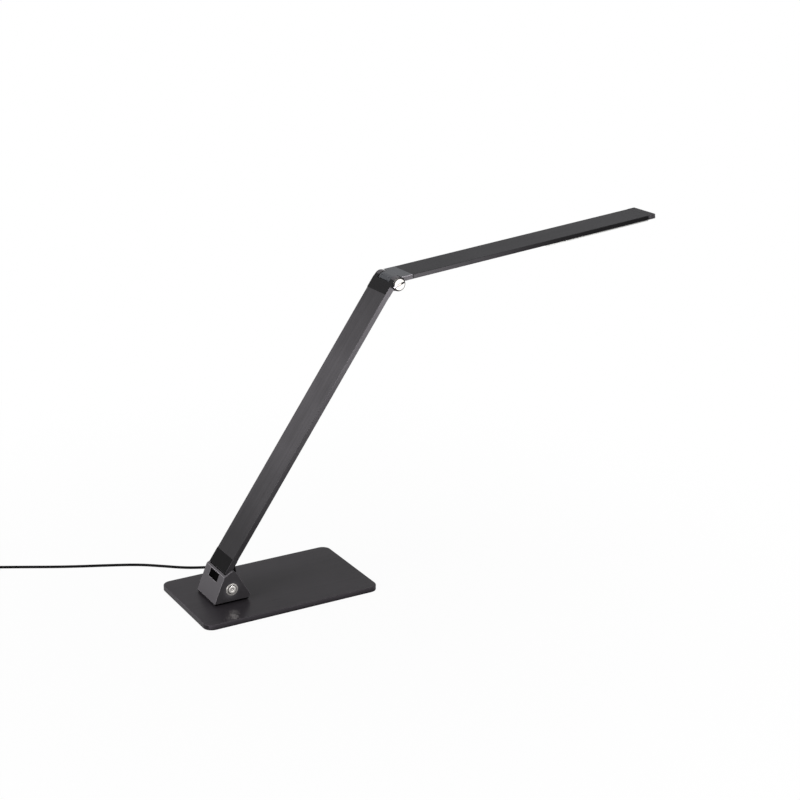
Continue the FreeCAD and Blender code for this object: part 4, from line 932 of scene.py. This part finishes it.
def build_hinge_bolts():
    shape = bmesh.new()
    for side in (-1.0, 1.0):
        turned(shape, BOLT_SECTION, LOWER_PIVOT + Y_AXIS * (side * CHEEK), Y_AXIS * side, X_AXIS)
    for face in shape.faces:
        middle = face.calc_center_median()
        radius = math.hypot(middle.x - LOWER_PIVOT.x, middle.z - LOWER_PIVOT.z) / MM
        # The groove gets painted shade, and the flange and the centre ring get the darker steel as painted
        # shade.
        if abs(middle.y) > CHEEK:
            if SHADED_GROOVE[0] < radius < SHADED_GROOVE[1]:
                face.material_index = 2
            elif radius > SHADED_GROOVE[1] or CENTRE_RING[0] < radius < CENTRE_RING[1]:
                face.material_index = 1
    round_edges(shape, width=0.05 * MM, segments=2, limit=35.0)
    finishes = [crown_steel, flange_steel, groove_dark]
    return add_piece("hinge_bolt_pair", shape, finishes, "pedestal", "bright_steel", "hinge_bolts")


build_hinge_bolts()

# %% [markdown]
# The elbow's bolt has a flat bright head with a coin slot, so that the friction can be set with a
# coin. It is a copy of the solid. Two cuts across the slot split off its ends, and an inset splits a
# narrow border off the crown. The border, the sloping rim and the slot's upper end are painted dark,
# as painted shade, and the other end is painted plain steel, as painted light.

# %% Elbow bolt
SLOT_TURN = ARM_ANGLE - math.radians(35.0)
SLOT_MIDDLE = 2.4 * MM
CROWN_BORDER = 0.35 * MM
CROWN_DEPTH = (-0.05, 0.05)
SLOT_FLOOR = (0.5, 0.9)
BELOW_CROWN = (0.1, 0.8)
FACING = (-1.1, -0.9)
SLOPING = (-0.95, -0.2)
UPRIGHT = (-0.1, 0.1)


def build_elbow_bolt():
    shape = merged_copy("elbow_bolt")
    along = Vector((math.cos(SLOT_TURN), 0.0, math.sin(SLOT_TURN)))
    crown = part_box("elbow_bolt")[0][1]

    def faces_at(depth, tilt):
        """Faces on the head's outer side, by depth under the crown in millimetres and by tilt."""
        depths = {f: (f.calc_center_median().y - crown) / MM for f in shape.faces}
        found = [f for f in shape.faces if depth[0] < depths[f] < depth[1]]
        return [f for f in found if tilt[0] < f.normal.y < tilt[1]]

    def slot_faces():
        return faces_at(SLOT_FLOOR, FACING) + faces_at(BELOW_CROWN, UPRIGHT)

    for side in (-1.0, 1.0):
        slot = slot_faces()
        around = list({e for f in slot for e in f.edges})
        bmesh.ops.bisect_plane(shape, geom=slot + around, dist=SNAP, plane_no=along,
                               plane_co=ELBOW + along * (side * SLOT_MIDDLE))
    slot = slot_faces()
    ways = {f: (f.calc_center_median() - ELBOW).dot(along) for f in slot}
    painted_light = [f for f in slot if ways[f] < -SLOT_MIDDLE]
    dark = [f for f in slot if ways[f] > SLOT_MIDDLE]
    dark += faces_at(BELOW_CROWN, SLOPING)
    crown_faces = faces_at(CROWN_DEPTH, FACING)
    dark += bmesh.ops.inset_region(shape, faces=crown_faces, thickness=CROWN_BORDER)["faces"]
    # Painted shade on the dark faces, and painted light on the lit end of the slot.
    for face in dark:
        face.material_index = 1
    for face in painted_light:
        face.material_index = 2
    round_edges(shape, width=0.06 * MM, segments=2)
    print("dark faces of the elbow bolt:", len(dark))
    finishes = [elbow_steel, groove_dark, plain_steel]
    return add_piece("elbow_bolt_slotted", shape, finishes, "arm", "bright_steel", "elbow_bolt")


build_elbow_bolt()

# %% [markdown]
# On the far side the bolt ends in a round nut with a groove in its face. Its section is a closed loop
# that stays off the axis, so that spinning it leaves the hole for the bolt.

# %% Elbow nut
NUT_SECTION = [
    (3.05, 0.0), (7.1, 0.0), (7.1, 0.9), (6.85, 1.15), (6.3, 1.6), (5.2, 1.6), (5.0, 1.3),
    (4.6, 1.3), (4.4, 1.6), (3.3, 1.6), (3.05, 1.4), (3.05, 0.0),
]
ARM_SIDE = 19.75 * MM


def build_elbow_nut():
    shape = turned(bmesh.new(), NUT_SECTION, ELBOW + Y_AXIS * ARM_SIDE, Y_AXIS, X_AXIS)
    round_edges(shape, width=0.06 * MM, segments=2, limit=35.0)
    return add_piece("elbow_nut_round", shape, [elbow_steel], "arm", "bright_steel", "elbow_nut")


build_elbow_nut()

# %% [markdown]
# ## The arm and the head
#
# The tube of the arm and the channel of the head are drawn sections. Faces that look sideways get the
# finish of the sides, and all others that of the faces. Cuts across give both enough corners to carry
# a mask that changes along the piece, as painted light. It is strongest in the middle of the arm's
# face, and near the elbow on the sides of both. A dark band marks the seam at the block.

# %% Brushed sections
SEAM = 17.2 * MM
SEAM_SHADE = 1.3 * MM
SEAM_TILT = 0.3
CUT_STEP = 24 * MM
CUTS = 14
seam_place = head_frame @ Vector((SEAM, 0.0, 0.0))


def brushed_section(node, start, along, finishes, body, painted_light):
    """Copy of a drawn section. The rule painted_light gives the mask, which is painted light, from a face and
    the way along.
    """
    shape = merged_copy(node)
    for i in range(1, CUTS + 1):
        cut_across(shape, start + along * (i * CUT_STEP), along)
    cut_across(shape, seam_place + head_along * SEAM_SHADE, head_along)
    for face in shape.faces:
        face.material_index = 1 if abs(face.normal.y) > SIDEWAYS else 0
    round_edges(shape, width=0.2 * MM, segments=2)
    mask = edge_mask(shape)
    for face in shape.faces:
        at_seam = (face.calc_center_median() - seam_place).dot(head_along) < SEAM_SHADE
        if body == "head" and at_seam and abs(face.normal.y) > SEAM_TILT:
            face.material_index = 2
        for corner in face.loops:
            corner[mask] = painted_light(face, (corner.vert.co - start).dot(along) / MM)
    return add_piece(node + "_brushed", shape, finishes, body, "brushed_arm", node)


print("seam of the head at:", [round(v, 4) for v in seam_place])

# %% [markdown]
# Two rules give the painted light of a place, from its way along the piece in millimetres. On the
# arm's face it rises and falls like half a wave, and on its sides it grows towards the elbow. On
# the head's sides it falls off away from the elbow.

# %% Arm tube and head channel
FACE_LIGHT = 0.6
FACE_START = 45
FACE_LENGTH = 340
SIDE_START = 60
SIDE_LENGTH = 270
HEAD_LENGTH = 210
HEAD_FALL = 1.3


def arm_painted_light(face, way):
    on_side = min(1.0, max(0.0, (way - SIDE_START) / SIDE_LENGTH)) ** 0.5
    on_face = FACE_LIGHT * max(0.0, math.sin(math.pi * (way - FACE_START) / FACE_LENGTH))
    return on_face if abs(face.normal.y) < 0.5 else on_side


def head_painted_light(face, way):
    on_side = abs(face.normal.y) > SIDEWAYS
    return max(0.0, 1 - way / HEAD_LENGTH) ** HEAD_FALL if on_side else 0.0


brushed_section("arm_tube", LOWER_PIVOT, arm_along, [arm_brush, arm_side], "arm", arm_painted_light)
brushed_section("head_channel", ELBOW, head_along, [head_brush, head_side, groove_dark], "head", head_painted_light)

# %% [markdown]
# The two caps of the arm are castings that go on with the tube's section, so their sides have the
# finish of the tube's sides, whose lighter colour is painted light. Those faces are found by where they
# lie: in the plane of the sides, and no further than where the fork's ears begin to round off.

# %% Sides of the castings
SIDE_END = 355.0 * MM
SIDE_SLACK = 0.1 * MM
IN_SIDE = 1


def at_side(face):
    """Whether a face lies in the plane of the arm's and the head's sides."""
    return abs(face.calc_center_median().y) > ARM_SIDE - SIDE_SLACK


def is_side(face):
    return abs(face.normal.y) > SIDEWAYS and at_side(face)


def side_of_arm(shape):
    """Gives the finish of the sides to a casting's sides, as far as the tube's section goes on."""
    for face in shape.faces:
        way = (to_arm @ face.calc_center_median()).x
        if is_side(face) and 0.0 < way < SIDE_END:
            face.material_index = IN_SIDE


print("sides of the castings end at:", round(SIDE_END, 4))

# %% [markdown]
# The upward rounds of the fork's ears get the mask as a painted highlight, and its sides get it in
# full as painted light. The edges of its throat are rounded more and painted dark, as painted shade
# in the gap at the tongue.

# %% Fork
THROAT = 12.4 * MM
THROAT_LEVEL = 14.0 * MM
EAR_TILT = 0.62
EAR_HIGHLIGHT = 0.6
IN_PAINTED_SHADE = 2


def at_throat(edge):
    ends = [to_arm @ v.co for v in edge.verts]
    return all(abs(p.y) < THROAT and p.z > THROAT_LEVEL and p.x > SIDE_END for p in ends)


def build_fork():
    shape = merged_copy("upper_fork")
    cut_across(shape, arm_frame @ Vector((SIDE_END, 0.0, 0.0)), arm_along)
    side_of_arm(shape)
    for face in round_edges(shape, width=0.6 * MM, segments=2, chosen=at_throat):
        face.material_index = IN_PAINTED_SHADE
    round_edges(shape, width=0.3 * MM, chosen=without(IN_PAINTED_SHADE))
    mask = edge_mask(shape)
    for face in shape.faces:
        on_ear = abs(face.calc_center_median().y) > THROAT
        for corner in face.loops:
            # Sides in full and upward rounds of the ears: painted light and painted highlight.
            if face.material_index == IN_SIDE:
                corner[mask] = 1.0
            elif face.normal.z > EAR_TILT and on_ear:
                corner[mask] = max(corner[mask], EAR_HIGHLIGHT)
    finishes = [dark_cast, arm_side, groove_dark]
    return add_piece("fork_worn_and_lit", shape, finishes, "arm", "dark_cast", "upper_fork")


build_fork()

# %% [markdown]
# The knuckle at the other end goes down between the cheeks of the pedestal. It is darker than the fork,
# its sides take the lighter side finish of the arm as painted light, and only its rounded edges get
# the mask.

# %% Knuckle
def build_knuckle():
    shape = merged_copy("lower_knuckle")
    side_of_arm(shape)
    round_edges(shape, width=0.35 * MM)
    finishes = [black_cast, arm_side]
    return add_piece("lower_knuckle_soft", shape, finishes, "arm", "dark_cast", "lower_knuckle")


build_knuckle()

# %% [markdown]
# The sides of the block of the head take a lighter finish, as painted light. Its long upper edges are
# rounded more than the others, and show as a bright line. Bevel runs twice: first on the edges between
# top and sides, and then on all that are still sharp.

# %% Hinge block
head_up = head_frame.to_3x3() @ Z_AXIS


def top_and_side(edge):
    at_top = any(f.normal.dot(head_up) > SIDEWAYS for f in edge.link_faces)
    return at_top and any(f.material_index == IN_SIDE for f in edge.link_faces)


def build_block():
    shape = merged_copy("head_block")
    for face in shape.faces:
        if is_side(face):
            face.material_index = IN_SIDE
    round_edges(shape, width=0.7 * MM, chosen=top_and_side)
    round_edges(shape, width=0.25 * MM, limit=50.0)
    return add_piece("block_worn_and_lit", shape, [hinge_grey, block_side], "head", "hinge_grey", "head_block")


build_block()

# %% [markdown]
# The mouth of the channel is closed by a plain cover near the elbow and by the milky lens further out.
# Both are flat mouldings, so a copy with rounded edges is all that they need.

# %% Cover and lens
soft_copy("underside_cover", 0.2 * MM, black_plastic, "head", "black_plastic")
soft_copy("diffuser", 0.3 * MM, milky_lens, "head", "milky_lens")

# %% [markdown]
# The end cap closes the tip of the head. Its sides are ribbed, to be gripped when the lens is taken
# out: the cap is cut across at even steps, and every second strip of its sides is pushed in.

# %% Ribbed end cap
CAP_RIB = 0.95 * MM
CAP_STRIPS = 8
CAP_START = 327.0 * MM
CAP_SLOPE = 0.15 * MM
CAP_DEPTH = 0.3 * MM


def build_end_cap():
    shape = merged_copy("head_end_cap")
    first = head_frame @ Vector((CAP_START, 0.0, 0.0))
    for i in range(CAP_STRIPS + 1):
        cut_across(shape, first + head_along * (i * CAP_RIB), head_along)
    sides = [f for f in shape.faces if is_side(f)]
    steps = {f: math.floor((f.calc_center_median() - first).dot(head_along) / CAP_RIB) for f in sides}
    strips = [f for f in sides if 0 <= steps[f] < CAP_STRIPS and steps[f] % 2 == 0]
    bmesh.ops.inset_individual(shape, faces=strips, thickness=CAP_SLOPE, depth=-CAP_DEPTH)
    for face in shape.faces:
        face.material_index = IN_SIDE if at_side(face) else 0
    round_edges(shape, width=0.12 * MM, segments=2)
    return add_piece("ribbed_end_cap", shape, [head_brush, cap_side], "head", "dark_cap", "head_end_cap")


build_end_cap()

# %% [markdown]
# ## The supply and the boots
#
# The supply is moulded in two halves that meet in a fine groove. Two cuts close together make a band
# round the box, and insetting that band inwards makes the groove. The blades and the tie of the coil
# are rounded copies of their solids.

# %% Supply, blades and tie
WALL_TILT = 0.1
GROOVE_HALF = 0.35 * MM
GROOVE_SLOPE = 0.1 * MM
GROOVE_DEPTH = 0.5 * MM


def build_supply():
    low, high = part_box("power_supply")
    shape = merged_copy("power_supply")
    middle = (low[2] + high[2]) / 2
    for level in (middle - GROOVE_HALF, middle + GROOVE_HALF):
        cut_across(shape, Z_AXIS * level, Z_AXIS)
    walls = [f for f in shape.faces if abs(f.normal.z) < WALL_TILT]
    groove = [f for f in walls if abs(f.calc_center_median().z - middle) < GROOVE_HALF / 2]
    bmesh.ops.inset_region(shape, faces=groove, thickness=GROOVE_SLOPE, depth=-GROOVE_DEPTH,
                           use_even_offset=True)
    round_edges(shape, width=0.6 * MM, limit=45.0)
    return add_piece("plug_in_supply", shape, [supply_plastic], "base", "supply_plastic", "power_supply")


supply = build_supply()
blades = soft_copy("plug_blades", 0.3 * MM, blade_brass, "base", "blade_brass")
band = soft_copy("cord_tie", 0.1 * MM, tie_plastic, "base", "tie_plastic", segments=2)

# %% [markdown]
# ## The cord
#
# The cord leaves the back edge of the base, sinks to the table and wanders off to the left. A NURBS
# curve is the natural tool: its control points are the places that the cord passes, and the curve
# rounds every corner between them. Order and end points are set after the points have been added.

# %% Route of the cord on the table
CORD_WIDTH = 3.0 * MM
EXIT_LEVEL = 2.8
LYING = 1.55
ON_TIE = 2.2
ROUTE = [
    (-16.0, 65.5, EXIT_LEVEL),
    (-16.0, 71.9, EXIT_LEVEL),
    (-19.5, 77.1, 2.425),
    (-25.6, 80.1, 1.925),
    (-33.0, 81.9, LYING),
    (-41.2, 85.1, LYING),
    (-58.5, 94.2, LYING),
    (-80.0, 112.3, LYING),
    (-99.0, 127.2, LYING),
    (-127.4, 141.5, LYING),
    (-171.0, 161.6, LYING),
    (-214.5, 184.4, ON_TIE),
    (-257.5, 207.9, ON_TIE),
]
cord_points = [Vector(point) * MM for point in ROUTE]
print("route points:", len(cord_points))

# %% [markdown]
# The length that the picture doesn't show is wound up beside it: four layers of three turns, which
# spiral in and out. A spline of order three runs a little inside its control points, so the points
# of a turn are put slightly further out than the turn itself.

# %% Turns of the coil
COIL_RADIUS = 17.5 * MM
COIL_STEP = 3.5 * MM
TURNS = 3
LAYERS = 4
POINTS_PER_TURN = 16
CLIMB_SHARE = 0.25
heading = cord_points[-1] - cord_points[-2]
heading = Vector((heading.x, heading.y, 0.0)).normalized()
coil_start = cord_points[-1] + heading * CORD_WIDTH
inward = Vector((-heading.y, heading.x, 0.0))
coil_middle = coil_start + inward * (COIL_RADIUS + COIL_STEP * TURNS / 2)
first_angle = math.atan2(-inward.y, -inward.x)
OUTWARD = 1.0 / (0.75 + 0.25 * math.cos(math.tau / POINTS_PER_TURN))


def turn_place(turn):
    layer = min(int(turn / TURNS), LAYERS - 1)
    within = turn - layer * TURNS
    done = within if layer % 2 == 0 else TURNS - within
    radius = (COIL_RADIUS + COIL_STEP * (TURNS / 2 - done)) * OUTWARD
    left = TURNS - within
    climb = 0.0
    if layer < LAYERS - 1 and left < CLIMB_SHARE:
        climb = 0.5 * (1 - left / CLIMB_SHARE) ** 2
    if layer > 0 and within < CLIMB_SHARE:
        climb = -0.5 * (1 - within / CLIMB_SHARE) ** 2
    angle = first_angle + math.tau * turn
    level = coil_start.z + COIL_STEP * (layer + climb)
    return Vector((coil_middle.x + radius * math.cos(angle), coil_middle.y + radius * math.sin(angle), level))


print("middle of the coil:", [round(v, 4) for v in coil_middle])

# %% [markdown]
# The turns are more points of the same spline. The last one comes back to the true radius, and from
# there the cord runs straight into the supply.

# %% Points of the coil and the tail
last_turn = TURNS * LAYERS
cord_points.append(coil_start)
cord_points.extend(turn_place(i / POINTS_PER_TURN) for i in range(1, last_turn * POINTS_PER_TURN))
coil_end = turn_place(last_turn)
coil_end.x = coil_middle.x + (coil_end.x - coil_middle.x) / OUTWARD
coil_end.y = coil_middle.y + (coil_end.y - coil_middle.y) / OUTWARD
cord_points.append(coil_end)
TAIL = 17.0 * MM
INSIDE_SUPPLY = 40.0 * MM
cord_points.append(coil_end + heading * TAIL)
cord_points.append(coil_end + heading * (TAIL + INSIDE_SUPPLY))
print("points with the coil:", len(cord_points))

# %% [markdown]
# A cord breaks first where it is bent sharply, so it leaves the base and enters the supply through a
# short tapered boot. The rings let the boot bend. Both are turned sections, and the one at the
# supply points from the end of the coil to the middle of its solid.

# %% Boots
GROMMET_SECTION = [
    (0.0, -3.4), (1.5, -3.4), (1.5, -2.2), (1.9, -2.2), (1.9, 0.0), (2.4, 0.0), (2.4, 1.1),
    (2.2, 1.3), (1.8, 1.4), (1.8, 1.8), (2.15, 1.9), (2.05, 2.3), (1.7, 2.4), (1.7, 2.8),
    (1.95, 2.9), (1.85, 3.3), (1.65, 3.4), (1.65, 4.0), (0.0, 4.0),
]
BOOT_SECTION = [
    (0.0, 0.0), (1.9, 0.0), (2.1, 1.0), (1.75, 1.1), (1.75, 1.7), (2.3, 1.8), (2.45, 2.8),
    (1.95, 2.9), (1.95, 3.5), (2.65, 3.6), (2.8, 4.6), (2.2, 4.7), (2.2, 5.3), (3.0, 5.4),
    (3.2, 6.6), (3.2, 9.0), (0.0, 9.0),
]
BACK_EDGE = Vector((-16.0, 61.5, EXIT_LEVEL)) * MM
HALF_BOOT = 4.5 * MM


def build_boot(name, section, foot, axis, slot_name, node):
    shape = turned(bmesh.new(), section, foot, axis, Z_AXIS, steps=32)
    round_edges(shape, width=0.08 * MM, segments=2, limit=40.0)
    return add_piece(name, shape, [mat_rubber], "base", slot_name, node)


boot_low, boot_high = (Vector(corner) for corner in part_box("supply_boot"))
boot_middle = (boot_low + boot_high) / 2
boot_axis = boot_middle - coil_end
boot_axis = Vector((boot_axis.x, boot_axis.y, 0.0)).normalized()
boot_foot = boot_middle - boot_axis * HALF_BOOT
build_boot("ringed_grommet", GROMMET_SECTION, BACK_EDGE, Y_AXIS, "cord_rubber", "cord_grommet")
boot = build_boot("ringed_boot", BOOT_SECTION, boot_foot, boot_axis, "cord_rubber", "supply_boot")

# %% [markdown]
# All the points together make one spline. Its bevel gives the cord its thickness, and the caps close
# both ends, which are hidden in the grommet and in the supply.

# %% The cord as one smooth curve
def build_cord():
    curve = bpy.data.curves.new("cord_line", "CURVE")
    curve.dimensions = "3D"
    curve.bevel_depth = CORD_WIDTH / 2
    curve.bevel_resolution = 4
    curve.resolution_u = 6
    curve.use_fill_caps = True
    line = curve.splines.new("NURBS")
    line.points.add(len(cord_points) - 1)
    for point, place in zip(line.points, cord_points):
        point.co = (*place, 1.0)
    line.order_u = 3
    line.use_endpoint_u = True
    curve.materials.append(cord_sheath)
    item = bpy.data.objects.new("cord_line", curve)
    scene.collection.objects.link(item)
    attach(item, "base")
    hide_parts("cord", "cord_coil")
    return item


cord_line = build_cord()
print("cord ready")
